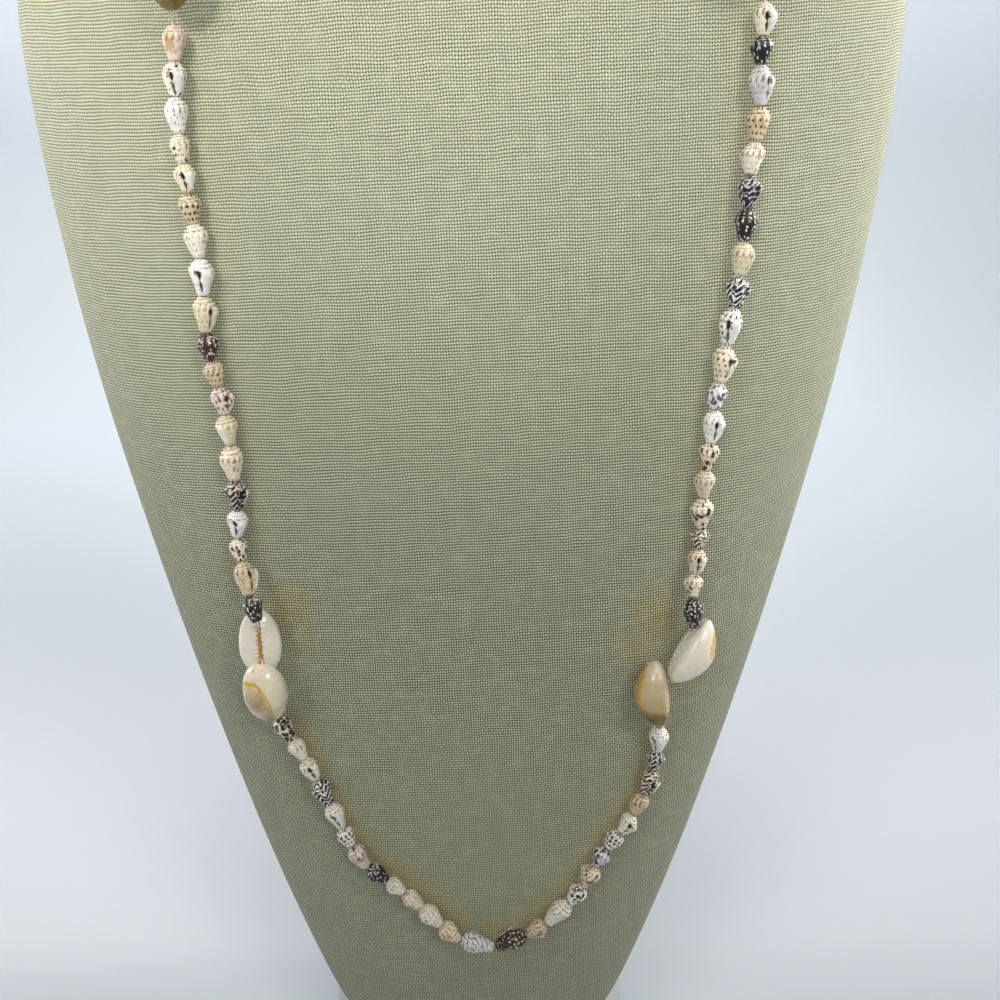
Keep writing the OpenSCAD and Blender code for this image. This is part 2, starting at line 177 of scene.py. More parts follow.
ARC_SHELLS = [
    [9, 180, "cream", "dark", "spots", 1.2, 0.3],
    [7, 190, "ivory", "brown", "plain", 0, 0],
    [7.5, 20, "cream", "dark", "spots", 0.4, 0],
    [9, 180, "white", "black", "zigzag", 0.9, 0],
    [8.5, 0, "ivory", "brown", "plain", 0, 0],
    [7, 180, "white", "dark", "dashes", 0.9, 0],
    [8.5, 170, "pink", "dark", "spots", 0.6, 0.5],
    [7.5, 180, "white", "black", "net", 1, 0],
    [6.5, 150, "ivory", "brown", "spots", 0.2, 0],
    [7.5, 200, "cream", "brown", "spots", 0.3, 0.5],
    [8.5, 160, "ivory", "brown", "spots", 0.2, 0.1],
    [8, 180, "cream", "golden", "dashes", 0.7, 0.2],
    [11.5, 185, "white", "haze", "zigzag", 0.35, 0],
    [10.5, 180, "cream", "dark", "net", 0.95, 0],
    [7.5, 30, "tan", "dark", "spots", 0.4, 0],
    [10, 170, "ivory", "brown", "plain", 0, 0],
    [7, 180, "white", "dark", "spots", 0.9, 0],
    [8, 190, "cream", "dark", "spots", 0.6, 0.8],
    [7, 175, "lilac", "black", "spots", 0.9, 0],
    [6.5, 180, "white", "black", "dashes", 1, 0],
    [7, 10, "ivory", "dark", "spots", 0.3, 0],
    [7.5, 180, "orange", "brown", "dashes", 0.4, 0.3],
    [8.5, 20, "cream", "dark", "zigzag", 0.7, 0],
    [6.5, 180, "white", "black", "zigzag", 1, 0],
    [9, -40, "white", "black", "spots", 0.2, 0],
]
# In the lower arc the shells from this one on lie with their spires to the right.
ARC_TURNED_FROM = 13

# The nape repeats one run of shells.
NAPE_RUN = [
    [8.5, 180, "cream", "dark", "spots", 0.7, 0],
    [7.5, 20, "white", "brown", "plain", 0, 0],
    [8.5, 170, "cream", "brown", "dashes", 0.6, 0.2],
    [7.5, 180, "white", "black", "net", 1, 0],
    [8, 190, "orange", "brown", "dashes", 0.5, 0.3],
    [9, 10, "ivory", "dark", "spots", 0.3, 0],
    [7.5, 170, "pink", "brown", "zigzag", 0.8, 0],
]
NAPE_SHELLS = NAPE_RUN * 5
PATTERNS = ["spots", "dashes", "zigzag", "net"]

# One row for each cowrie. Columns: its node, its upper end and its lower end as x,
# height and distance before the chest, the way its base faces, how much it broadens
# towards its lower end, the middle and reach of its gold ring as the angle round the
# back and the share of the length, and how tanned the back is, how tanned the margin
# is, how golden the inside of the ring is and how golden the lower tip is.
COWRIES = [
    ["cowrie_left_upper", [-59.5, 179.6, 6], [-58.3, 160.7, 8], [0.2, -1, 0], 0.08,
     [0, 40, 0, 0.55], [0.3, 0, 0.1, 0.1]],
    ["cowrie_left_lower", [-58.3, 166, 13.5], [-56.4, 146.4, 8.5], [0, 1, 0], -0.12,
     [34, 57, 0.45, 1.12], [0.85, 0.2, 0, 0.5]],
    ["cowrie_right_upper", [67.8, 174.8, 7.5], [57.3, 157.2, 8], [-0.82, 0.06, 0.57], 0.05,
     [16, 46, -0.52, 0.42], [0.9, 0, 1, 0.1]],
    ["cowrie_right_lower", [52.5, 163.2, 6.5], [54.4, 143.2, 8], [1, 0, 0], -0.05,
     [4, 46, 0, 0.84], [1, 0.9, 0.5, 1]],
    ["cowrie_left_shoulder_upper", [-64.2, 368, 7], [-64.5, 349.5, 8], [0, -1, 0], 0.08,
     [0, 40, 0, 0.55], [0.4, 0, 0, 0.2]],
    ["cowrie_left_shoulder_lower", [-64.5, 350.8, 13.5], [-66.6, 331.4, 8.4], [0, 1, 0], -0.12,
     [5, 40, 0, 0.6], [0.6, 0.1, 0.2, 0.7]],
    ["cowrie_right_shoulder_upper", [65.2, 369.3, 7], [67.7, 351.3, 8], [0, -1, 0], 0.08,
     [0, 40, 0, 0.55], [0.4, 0, 0, 0.2]],
    ["cowrie_right_shoulder_lower", [67.2, 355.8, 13.5], [71.8, 336.8, 8.4], [0, 1, 0], -0.12,
     [-5, 42, 0, 0.58], [0.6, 0.2, 0.2, 0.6]],
]
(LEFT_UPPER, LEFT_LOWER, RIGHT_UPPER, RIGHT_LOWER, LEFT_SHOULDER_UPPER, LEFT_SHOULDER_LOWER,
 RIGHT_SHOULDER_UPPER, RIGHT_SHOULDER_LOWER) = range(8)

# Soft lights, in metres. Columns: name, place, what it is aimed at, its two sides,
# the angle that it spreads to, power, colour.
LIGHTS = [
    ["overhead", (0, -0.35, 1.35), (0, -0.02, 0.40), (1.0, 0.7), 34, 0.42, (1, 0.96, 0.94)],
    ["front_left", (-0.45, -0.70, 0.85), (-0.04, -0.04, 0.42), (0.7, 0.5), 34, 0.48,
     (1, 0.98, 0.95)],
    ["front_right", (0.45, -0.70, 0.85), (0.04, -0.04, 0.42), (0.7, 0.5), 34, 0.58,
     (1, 0.98, 0.95)],
    ["top_left", (-0.40, -0.85, 0.80), (-0.135, -0.01, 0.47), (0.4, 0.4), 10, 0.22,
     (1, 0.95, 0.92)],
    ["flank_left", (-0.90, 0.15, 0.75), (-0.13, 0, 0.43), (0.45, 0.45), 22, 0.46,
     (1, 0.96, 0.93)],
    ["flank_right", (0.90, 0.15, 0.75), (0.13, 0, 0.43), (0.45, 0.45), 22, 0.90,
     (1, 0.96, 0.93)],
    ["rear", (0.3, 0.9, 1.1), (0, 0.05, 0.3), (0.7, 0.7), 90, 1.0, (0.95, 0.97, 1)],
    ["wall", (-0.16, 0.75, 1.3), (-0.12, 1.35, 0.5), (2.4, 0.5), 150, 15.8, (0.96, 0.98, 1)],
]

# Warm light that the cowries throw, painted on the linen. Columns: x, height, reach, strength.
GLOW_SPOTS = [
    [-51, 178, 7, 0.6],
    [-49, 168, 6, 0.35],
    [54, 174, 7, 0.7],
    [49, 166, 6, 0.5],
]

# The usual length of a small shell, the gap between two of them, the gap at the ends of
# a stretch, and the radius of a shell's ends.
SHELL_LENGTH = 8.1
SHELL_GAP = 0.2
END_GAP = 0.6
END_RADIUS = 1.2
# Straight outwards at the chest and at the nape.
OUT_CHEST = [0, -1, 0]
OUT_NAPE = [0, 0.5, 0.87]

# How far a cowrie's base and back stand out from its middle, how deep its slit is and
# how far apart its teeth are.
COWRIE_BASE = 3.2
COWRIE_BACK = 6.8
SLIT_DEPTH = 1.7
TOOTH_STEP = 1.28

BASE_THICKNESS = 12.0
BASE_RADIUS = 52.0
BASE_EDGE = 1.5
# The linen's rows follow the height up to here and the padding's slope above it.
SLOPE_FROM = 345
# How many degrees the weave is turned.
WEAVE_TURN = 2.5

# The camera and the floor, in metres and degrees. The floor ends in a quarter circle
# that leads up to the wall.
CAMERA_PLACE = (0.009, -0.305, 0.290)
CAMERA_TILT = 73
CAMERA_ROLL = -0.5
FLOOR_REACH = 5.0
BEND_START = 0.95
BEND_RADIUS = 0.4
WALL_TOP = 2.2


# Lines and surfaces that the pieces share.

def unit(vectors):
    """Vectors at length 1."""
    vectors = np.asarray(vectors, float)
    return vectors / np.linalg.norm(vectors, axis=-1, keepdims=True)


def square_to(vectors, along):
    """Each vector without its share along a unit direction, at length 1."""
    return unit(vectors - np.sum(vectors * along, axis=-1, keepdims=True) * along)


def together(*parts):
    """Numbers and arrays of fitting shapes as the parts of one array of vectors."""
    return np.stack(np.broadcast_arrays(*parts), axis=-1)


def ease(value, low, high):
    """0 below low, 1 above high, and 3t^2 - 2t^3 between them."""
    t = np.clip((value - low) / (high - low), 0, 1)
    return t * t * (3 - 2 * t)


def bell(distance):
    """1 at 0 and less on both sides, as exp(-d^2)."""
    return np.exp(-distance**2)


def smooth_line(rows, steps):
    """A smooth curve through all rows, with this many steps from each to the next.

    Each stretch is the cubic through two rows whose slope at a row is half the way
    from the row before it to the row after it.
    """
    rows = np.asarray(rows, float)
    p1, p2 = rows[:-1, None], rows[1:, None]
    p0 = np.vstack([rows[:1], rows[:-2]])[:, None]
    p3 = np.vstack([rows[2:], rows[-1:]])[:, None]
    f = (np.arange(steps) / steps)[None, :, None]
    curve = 0.5 * (2 * p1 + (p2 - p0) * f + (2 * p0 - 5 * p1 + 4 * p2 - p3) * f**2
                   + (3 * p1 - p0 - 3 * p2 + p3) * f**3)
    return np.vstack([curve.reshape(-1, rows.shape[1]), rows[-1:]])


FINE_FORM = smooth_line(FORM_ROWS, 6)


def chest_y(x, z):
    """The y of the chest at a place: the middle line less the depth in front of it
    times (1 - |x / half width|^n)^(1/n), where n is the squareness."""
    width, middle, depth, square = (
        np.interp(z, FINE_FORM[:, 0], FINE_FORM[:, c]) for c in (1, 2, 3, 5))
    t = np.minimum(np.abs(x) / width, 1)
    return middle - depth * (1 - t**square)**(1 / square)


def on_chest(rows):
    """Rows of x, height and distance before the chest, as points in space."""
    x, z, ahead = np.asarray(rows, float).T
    return together(x, chest_y(x, z) - ahead, z)


def running_length(line):
    """How far along a line each of its points is."""
    return np.concatenate([[0], np.cumsum(np.linalg.norm(np.diff(line, axis=0), axis=1))])


def places_along(line, s, at):
    """The places at these lengths along a line whose points have the running length s."""
    return together(*(np.interp(at, s, line[:, k]) for k in range(3)))


def joints(line, shells):
    """The places where one small shell ends and the next starts, their lengths being
    stretched together until they fill the line."""
    at = np.concatenate([[0], np.cumsum([row[0] for row in shells])])
    s = running_length(line)
    return places_along(line, s, at * s[-1] / at[-1])


def nape_line():
    """The hidden stretch: the half table and its mirror image, smoothed together."""
    half = np.array(NAPE_ROWS, float)
    other = half[-2::-1] * [-1, 1, 1]
    return smooth_line(np.vstack([half, other]), 4)


LEFT_JOINTS = joints(smooth_line(on_chest(LEFT_ROWS), 5), LEFT_SHELLS)
RIGHT_JOINTS = joints(smooth_line(on_chest(RIGHT_ROWS), 5), RIGHT_SHELLS)
ARC_JOINTS = joints(smooth_line(on_chest(ARC_ROWS), 5), ARC_SHELLS)
NAPE_JOINTS = joints(nape_line(), NAPE_SHELLS)

# Each strand's painted glow: its joints, how far it is moved, its reach and its strength.
STRAND_GLOWS = [
    [LEFT_JOINTS, [3.5, 0, 0], 5.5, 0.08],
    [RIGHT_JOINTS, [-3.5, 0, 0], 5.5, 0.08],
    [ARC_JOINTS, [0, 0, 3.0], 3.8, 0.85],
]


def tube_faces(rings, sides):
    """Quads between neighbouring rings of a grid whose rings close on themselves."""
    i = np.arange(rings - 1)[:, None] * sides
    k = np.arange(sides)[None, :]
    n = (k + 1) % sides
    return together(i + k, i + n, i + sides + n, i + sides + k).reshape(-1, 4)


def tube_corners(lay):
    """The coordinates of grids with one column more than the rings have, as one row
    for each corner of tube_faces."""
    near, far = lay[..., :-1, :, :], lay[..., 1:, :, :]
    quads = [near[..., :-1, :], near[..., 1:, :], far[..., 1:, :], far[..., :-1, :]]
    return np.stack(quads, axis=-2).reshape(-1, 2)


def volume(points, quads):
    """The volume inside closed quads: a sixth of the sum of a · (b x c) over their
    triangles, negative where the faces point inwards."""
    a, b, c, d = (points[quads[:, k]] for k in range(4))
    return (np.sum(a * np.cross(b, c)) + np.sum(a * np.cross(c, d))) / 6


def closed_grids(grids, lay=None, lid_lay=None):
    """Grids of rings as points, as faces and as the coordinates of the faces' corners.

    There are quads between the rings and one many-sided face on each open end. All
    are turned over where the volume inside them comes out negative.
    """
    count, rings, sides = grids.shape[:3]
    points = grids.reshape(-1, 3)
    ring = np.arange(sides)
    ends = np.stack([ring[::-1], (rings - 1) * sides + ring])
    shift = (np.arange(count) * rings * sides)[:, None, None]
    quads = (tube_faces(rings, sides) + shift).reshape(-1, 4)
    lids = (ends + shift).reshape(-1, sides)
    step = -1 if volume(points, quads) < 0 else 1
    faces = [quads[:, ::step], lids[:, ::step]]
    if lay is None:
        return points, faces, None
    corners = [tube_corners(lay).reshape(-1, 4, 2), lid_lay.reshape(-1, sides, 2)]
    return points, faces, np.concatenate([part[:, ::step].reshape(-1, 2) for part in corners])


def add_piece(name, points, faces, material, replaced, corners=None, marks=None):
    """Puts arrays into a new mesh object, in metres, that rides on the one body.

    faces holds one array for each size of face, corners the weave or shell coordinates
    of every face corner in the same order, and marks a name and an array of vectors
    for each mark that the points carry.
    """
    mesh = bpy.data.meshes.new(name)
    sizes = np.concatenate([np.full(len(group), group.shape[1]) for group in faces])
    loops = np.concatenate([group.ravel() for group in faces])
    mesh.vertices.add(len(points))
    mesh.vertices.foreach_set("co", (np.asarray(points) / 1000).astype(np.float32).ravel())
    mesh.loops.add(len(loops))
    mesh.loops.foreach_set("vertex_index", loops.astype(np.int32))
    mesh.polygons.add(len(sizes))
    starts = np.concatenate([[0], np.cumsum(sizes)[:-1]])
    mesh.polygons.foreach_set("loop_start", starts.astype(np.int32))
    mesh.update(calc_edges=True)
    if mesh.validate():
        raise RuntimeError(f"the faces of {name} don't fit together")
    mesh.polygons.foreach_set("use_smooth", np.ones(len(sizes), bool))
    if corners is not None:
        layer = mesh.uv_layers.new(name="lay")
        layer.data.foreach_set("uv", corners.astype(np.float32).ravel())
    for key, vectors in (marks or {}).items():
        attribute = mesh.attributes.new(key, "FLOAT_VECTOR", "POINT")
        attribute.data.foreach_set("vector", vectors.astype(np.float32).ravel())
    mesh.materials.append(material)
    piece = bpy.data.objects.new(name, mesh)
    bpy.context.scene.collection.objects.link(piece)
    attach(piece, "root")
    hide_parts(*replaced)
    return piece


# Materials.

def math_node(operation, swapped=False):
    """A Python operator that makes one Math node."""

    def made(self, other):
        first, second = (other, self) if swapped else (self, other)
        return self.finish.sum(operation, first, second)

    return made


class Value:
    """A number that flows out of a node's socket and takes part in Python sums."""

    def __init__(self, finish, socket):
        self.finish = finish
        self.socket = socket

    __add__ = math_node("ADD")
    __radd__ = math_node("ADD", swapped=True)
    __sub__ = math_node("SUBTRACT")
    __rsub__ = math_node("SUBTRACT", swapped=True)
    __mul__ = math_node("MULTIPLY")
    __rmul__ = math_node("MULTIPLY", swapped=True)
    __truediv__ = math_node("DIVIDE")


class Finish:
    """A material whose nodes are made from Python expressions."""

    def __init__(self, name):
        self.material = bpy.data.materials.new(name)
        self.material.use_nodes = True
        self.tree = self.material.node_tree
        self.tree.nodes.clear()

    def node(self, kind, settings=None, values=None):
        """A node with its settings made first, then its sockets' values or links."""
        made = self.tree.nodes.new(kind)
        for key, setting in (settings or {}).items():
            setattr(made, key, setting)
        for key, value in (values or {}).items():
            self.feed(made.inputs[key], value)
        return made

    def feed(self, socket, value):
        """Links a value to a socket, or sets a plain one on it."""
        if isinstance(value, Value):
            value = value.socket
        if isinstance(value, bpy.types.NodeSocket):
            self.tree.links.new(value, socket)
        elif hasattr(socket.default_value, "__len__") and len(socket.default_value) == 4:
            socket.default_value = (*value[:3], 1)
        else:
            socket.default_value = value

    def sum(self, operation, first, second=0.0):
        """One Math node."""
        made = self.node("ShaderNodeMath", {"operation": operation}, {0: first, 1: second})
        return Value(self, made.outputs[0])

    def sine(self, value):
        return self.sum("SINE", value)

    def wave(self, value, length):
        """A sine that repeats after a length."""
        return self.sine(value * (2 * math.pi / length))

    def size_of(self, value):
        return self.sum("ABSOLUTE", value)

    def larger(self, first, second):
        return self.sum("MAXIMUM", first, second)

    def rise(self, value, low, high):
        """0 below low, 1 above high, with a smooth step between them."""
        made = self.node("ShaderNodeMapRange", {"interpolation_type": "SMOOTHSTEP"},
                         {0: value, 1: low, 2: high, 3: 0.0, 4: 1.0})
        return Value(self, made.outputs[0])

    def blend(self, share, first, second, kind="MIX"):
        """A colour that goes from the first to the second, or to their product."""
        made = self.node("ShaderNodeMix", {"data_type": "RGBA", "blend_type": kind},
                         {0: share, 6: first, 7: second})
        return made.outputs[2]

    def shade(self, colour, value):
        """A colour made lighter or darker by a value."""
        made = self.node("ShaderNodeVectorMath", {"operation": "SCALE"},
                         {0: colour, "Scale": value})
        return made.outputs[0]

    def point(self, x, y, z=0.0):
        return self.node("ShaderNodeCombineXYZ", None, {0: x, 1: y, 2: z}).outputs[0]

    def parts(self, vector):
        split = self.node("ShaderNodeSeparateXYZ", None, {0: vector})
        return [Value(self, output) for output in split.outputs]

    def mark(self, name):
        """A vector that the mesh carries at its points."""
        made = self.node("ShaderNodeAttribute", {"attribute_name": name})
        return made.outputs["Vector"]

    def lay(self):
        """The two coordinates that lie on the surface, in millimetres."""
        made = self.node("ShaderNodeUVMap", {"uv_map": "lay"})
        return self.parts(made.outputs[0])[:2]

    def place(self):
        """The three coordinates in space, in metres."""
        return self.parts(self.node("ShaderNodeTexCoord").outputs["Object"])

    def noise(self, vector, scale=1.0, detail=2.0):
        made = self.node("ShaderNodeTexNoise", None,
                         {"Vector": vector, "Scale": scale, "Detail": detail})
        return Value(self, made.outputs[0])

    def cells(self, vector, randomness):
        """The distance from the middle of the nearest of many cells."""
        made = self.node("ShaderNodeTexVoronoi", None,
                         {"Vector": vector, "Scale": 1.0, "Randomness": randomness})
        return Value(self, made.outputs["Distance"])

    def close(self, constants, changing, height=None, distance=0.0002, strength=1.0):
        """The surface shader: constants on its own sockets, the rest linked."""
        shader = self.node("ShaderNodeBsdfPrincipled", None, {**constants, **changing})
        if height is not None:
            bump = self.node("ShaderNodeBump", None,
                             {"Height": height, "Distance": distance, "Strength": strength})
            self.feed(shader.inputs["Normal"], bump.outputs[0])
        out = self.node("ShaderNodeOutputMaterial")
        self.feed(out.inputs["Surface"], shader.outputs[0])
        return self.material


def linen_finish(settings):
    """Plain-woven linen, worked out from the two directions of its threads.

    With a and b as the places across the lengthwise and crosswise threads, counted
    in threads, a lengthwise thread stands |sin pi a| / 2 + sin pi a sin pi b / 2 high
    and a crosswise one |sin pi b| / 2 - sin pi a sin pi b / 2, and the higher of the
    two shows. Where both are low there is a gap, painted dark as shade. The crosswise
    threads sink towards the flanks with the fourth power of the way round, and slow
    noises bend both. From the neck down the threads get lighter and the painted shade
    of the gaps and the relief stronger, and near the foot both fade while the threads
    get darker, a painted shade. Near the strands and the cowries the colour carries a
    painted warm glow.
    """
    f = Finish("linen")
    u, v = f.lay()
    turn = math.radians(WEAVE_TURN)
    flank_at, sag_there = 130.0, 6.5
    sag = f.sum("POWER", f.size_of(u) / flank_at, 4.0) * sag_there
    along = u * math.cos(turn) + v * math.sin(turn)
    up = v * math.cos(turn) - u * math.sin(turn) - sag
    a = along / (settings.warp_pitch * 1000)
    b = up / (settings.weft_pitch * 1000)
    a = a + (f.noise(f.point(u, v), 0.09) - 0.5) * 1.6
    b = b + (f.noise(f.point(v, u), 0.09) - 0.5) * 1.8
    slub_a = f.noise(f.point(a, b * 0.05, 3.0), detail=1.0)
    slub_b = f.noise(f.point(a * 0.05, b, 7.0), detail=1.0)
    b = b + f.wave(a, 1.0) * 0.08 + (slub_a - 0.5) * 0.2
    wave_a = f.wave(a, 2.0)
    wave_b = f.wave(b, 2.0)
    over = wave_a * wave_b * 0.5
    warp = f.size_of(wave_a) * 0.5 + over
    weft = f.size_of(wave_b) * 0.5 - over
    uneven = slub_a * 0.5 + slub_b * 0.5
    speck = f.noise(f.point(a, b, 1.0), 0.8, 3.0)
    low = 1.0 - f.rise(v, 140.0, 380.0)
    foot = 1.0 - f.rise(v, 60.0, 190.0)
    thread = f.blend(f.rise(weft - warp, -0.4, 0.4), settings.linen_dark, settings.linen_colour)
    # Near the foot the threads get darker: painted shade.
    thread = f.shade(thread, 0.58 + low * 0.1 - foot * 0.17 + uneven * 0.38 + speck * 0.26)
    # Painted shade in the gaps where neither thread shows, stronger lower down, fading at the
    # foot.
    between = 1.0 - f.rise(f.size_of(wave_b), 0.3, 0.95)
    beside = 1.0 - f.rise(f.size_of(wave_a), 0.25, 0.85)
    tight = f.rise(f.noise(f.point(a * 0.16, b * 0.3, 5.0)), 0.26, 0.56)
    hole = between * beside * 1.4 + between * (0.2 + low * 0.08) + beside * (0.06 + low * 0.2)
    hole = hole * (0.62 + tight * 0.38) * (0.88 + low * 0.9 - foot * 1.1)
    # The gaps are painted towards near black as shade.
    colour = f.blend(hole, thread, linear(28, 30, 6))
    # Painted warm glow: the light that the shells and cowries throw, laid on the linen's colour.
    painted_glow = f.parts(f.mark("painted_glow"))[0]
    colour = f.blend(painted_glow, colour, (1.16, 1.0, 0.62), "MULTIPLY")
    height = (f.larger(warp, weft) + uneven * 0.4) * (0.9 + low * 0.9 - foot * 0.8)
    return f.close({"Roughness": 0.92, "Sheen Weight": 0.12, "Sheen Roughness": 0.5},
                   {"Base Color": colour}, height, 0.00016, 0.9)


def floor_finish():
    """Pale floor. Beyond a fan in front of the camera it also gives off a soft glow,
    painted light that stands in for lamps, so that it stays pale where the lamps don't reach."""
    f = Finish("floor")
    x, y = f.place()[:2]
    fan_tip, fan_slope, least_half = 0.3, 0.58, 0.22
    beside = f.size_of(x) - f.larger((y + fan_tip) * fan_slope, least_half)
    behind = f.rise(-0.38 - y, 0.0, 0.3)
    far = f.larger(f.rise(beside, 0.1, 0.5), behind)
    # The emission beyond the fan is painted light.
    return f.close({"Roughness": 0.7, "Base Color": linear(226, 231, 236),
                    "Emission Strength": 0.8},
                   {"Emission Color": f.shade(linear(214, 220, 226), far)})


def base_finish(settings):
    """Pale painted wood with a faint grain."""
    f = Finish("base")
    x, y, z = f.place()
    grain = f.noise(f.point(x * 900, y * 60, z * 300), detail=4.0)
    colour = f.shade(settings.base_colour, 0.9 + grain * 0.2)
    return f.close({"Coat Weight": 0.1}, {"Base Color": colour, "Roughness": 0.42 + grain * 0.16},
                   grain, 0.00005)


def thread_finish(settings):
    """Off-white twisted thread with fine fibres along its ply."""
    f = Finish("thread")
    u, v = f.lay()
    fibre = f.noise(f.point(u * 3.0, v * 14.0 + u * 9.0), detail=3.0)
    colour = f.shade(settings.thread_colour, 0.7 + fibre * 0.5)
    return f.close({"Roughness": 0.7}, {"Base Color": colour}, fibre, 0.00004)


def small_shell_finish():
    """Dove shell: spots, dashes, zigzags or a net of marks over each shell's own
    ground, with a white lip, a paler beaded spire whose beads carry a painted
    highlight and whose grooves a painted shade, and a mouth that is painted dark as
    shade near the spire and paler further down.

    Spots are cells of a slowly warped grid. Dashes are where two crossing waves are
    both high, and they move over from row to row. Zigzags are bands that follow a
    folded line, and the net is what lies between the middles of slanting cells.
    """
    row_height, dash_step, band_step, groove_step = 1.45, 1.5, 1.6, 0.42
    f = Finish("dove_shell")
    u, v = f.lay()
    seed, patch, net = f.parts(f.mark("nature"))
    spots, dashes, zigzag = f.parts(f.mark("marks"))
    mouth, lip, relief = f.parts(f.mark("zones"))
    around = f.point(u, v, seed)
    wobble = f.noise(around, 0.7) - 0.5
    wu = u + wobble * 1.2
    wv = v + wobble * 1.2

    cell = f.cells(f.point(wu * 0.62, wv * 0.66, seed), 0.75)
    spot_mask = f.rise(spots * 0.46 - cell, -0.06, 0.05)

    beat = f.sine(wu * (2 * math.pi / dash_step) + f.sum("FLOOR", wv / row_height) * 2.1)
    crossing = f.wave(wv, row_height) * 0.9 + beat * 0.9
    dash_mask = f.rise(dashes * 1.05 + crossing, 1.35, 1.75)

    folded = f.sum("PINGPONG", wu + wobble * 1.5, 1.7)
    bands = f.wave(wv + folded * 0.9 + wobble * 2.0, band_step)
    zigzag_mask = f.rise(bands + zigzag * 1.2, 0.5, 0.85) * f.rise(zigzag, 0.0, 0.1)

    fleck = f.cells(f.point(wu * 1.35, wv * 0.8 + wu * 0.4, seed + 4.0), 1.0)
    net_mask = f.rise(fleck + net * 0.12, 0.38, 0.46) * f.rise(net, 0.0, 0.2)

    marked = f.larger(f.larger(spot_mask, dash_mask), f.larger(zigzag_mask, net_mask))
    stain = f.rise(f.noise(f.point(u, v, seed + 9.0), 0.32) + patch * 0.36, 0.7, 0.84)
    tint = f.noise(f.point(u, v, seed + 2.0), 0.5, 3.0)

    body = f.shade(f.mark("ground"), 0.84 + tint * 0.3)
    body = f.blend(stain * 0.85, body, PAINTS["golden"])
    body = f.blend(marked, body, f.mark("ink"))
    # Paler beads: partly the shell's own pale knobs, partly a painted highlight on them.
    body = f.blend(f.rise(relief, 0.62, 0.95) * 0.75, body, PAINTS["ivory"])
    # Painted shade darkens the grooves and the dents between the beads.
    painted_groove_shade = f.blend(1.0, body, linear(176, 158, 128), "MULTIPLY")
    body = f.blend(f.rise(relief + (tint - 0.5) * 0.5, 0.5, 0.1), body, painted_groove_shade)
    body = f.blend(f.rise(lip, 0.25, 0.6), body, linear(236, 234, 230))
    # Painted shade in the mouth: dark near the spire, paler further down.
    pale = f.rise(v + f.sine(seed * 5.0) * 0.6, 4.3, 5.2) * 0.7
    deep = f.blend(pale, linear(52, 34, 26), linear(128, 112, 98))
    colour = f.blend(f.rise(mouth, 0.3, 0.85), body, deep)
    grooves = f.wave(v, groove_step) * 0.5 * f.rise(v, 4.5, 6.0)
    grooves = grooves * (1.0 - f.rise(lip, 0.1, 0.4))
    rough = 0.34 + tint * 0.12 - f.rise(lip, 0.3, 0.8) * 0.12
    return f.close({"Coat Weight": 0.25, "Coat Roughness": 0.15},
                   {"Base Color": colour, "Roughness": rough},
                   grooves + f.noise(around, 3.0, 3.0) * 0.8, 0.00005)


def cowrie_finish(settings):
    """Ring cowrie: porcelain white with a gold ring round a tanned back, a golden
    brown lower tip, and a golden slit between white teeth."""
    f = Finish("ring_cowrie")
    slit, tooth, back = f.parts(f.mark("zones"))
    ring, tan, margin = f.parts(f.mark("ring"))
    tip, gold, inside = f.parts(f.mark("stains"))
    place = f.mark("place")
    cloud = f.noise(place, 0.22, 3.0)
    ripple = f.noise(place, 0.5)
    body = f.blend(f.rise(back, -0.2, 0.9), settings.cowrie_colour, linear(236, 226, 202))
    body = f.blend(margin * (0.6 + cloud * 0.6), body, linear(188, 160, 98))
    plain = f.blend(f.rise(cloud, 0.35, 0.7), linear(206, 184, 136), linear(164, 138, 92))
    inner = f.blend(gold, plain, linear(204, 160, 76))
    body = f.blend(f.rise(inside, 0.0, 0.12) * tan, body, inner)
    line = f.rise(0.05 + margin * 0.03 - f.size_of(ring + (ripple - 0.5) * 0.2), -0.03, 0.03)
    body = f.blend(line * f.rise(back, 0.1, 0.35), body, settings.ring_colour)
    body = f.blend(f.rise(tooth, 0.1, 0.9) * 0.6, body, linear(246, 241, 230))
    body = f.blend(f.rise(tip, 0.1, 0.9), body, linear(126, 98, 26))
    body = f.blend(f.rise(slit, 0.25, 0.8), body, linear(222, 178, 108))
    return f.close({"Coat Weight": 0.6, "Coat Roughness": 0.06, "IOR": 1.52},
                   {"Base Color": body, "Roughness": 0.22 + cloud * 0.1}, cloud, 0.0001)


# Shapes.

def bust_surface(steps=14, columns=256):
    """The padded form: at each height a ring whose points are half width times
    sign(c) |c|^(2/n) across and depth times sign(s) |s|^(2/n) deep, where c and s
    are the cosine and sine of the angle and n is the squareness.

    The linen's coordinates are the length round the ring from the front and the
    height, which above the chest is the length up each column instead.
    """
    rows = smooth_line(FORM_ROWS, steps)
    angle = np.radians(90 + 360 * np.arange(columns) / columns)
    c, s = np.cos(angle)[None], np.sin(angle)[None]
    height, width, middle, front, rear, square = (rows[:, k:k + 1] for k in range(6))
    power = 2 / square
    x = width * np.sign(c) * np.abs(c)**power
    y = middle + np.where(s < 0, front, rear) * np.sign(s) * np.abs(s)**power
    grid = together(x, y, height)
    closed = np.concatenate([grid, grid[:, :1]], axis=1)
    steps_round = np.linalg.norm(np.diff(closed, axis=1), axis=2)
    along = np.concatenate([np.zeros((len(rows), 1)), np.cumsum(steps_round, axis=1)], axis=1)
    along = along - along[:, columns // 2:columns // 2 + 1]
    steps_up = np.linalg.norm(np.diff(closed, axis=0), axis=2)
    climb = np.concatenate([np.zeros((1, columns + 1)), np.cumsum(steps_up, axis=0)])
    knee = int(np.argmin(np.abs(rows[:, 0] - SLOPE_FROM)))
    up = np.where(height > rows[knee, 0], rows[knee, 0] + climb - climb[knee], height)
    return grid, together(along, up)


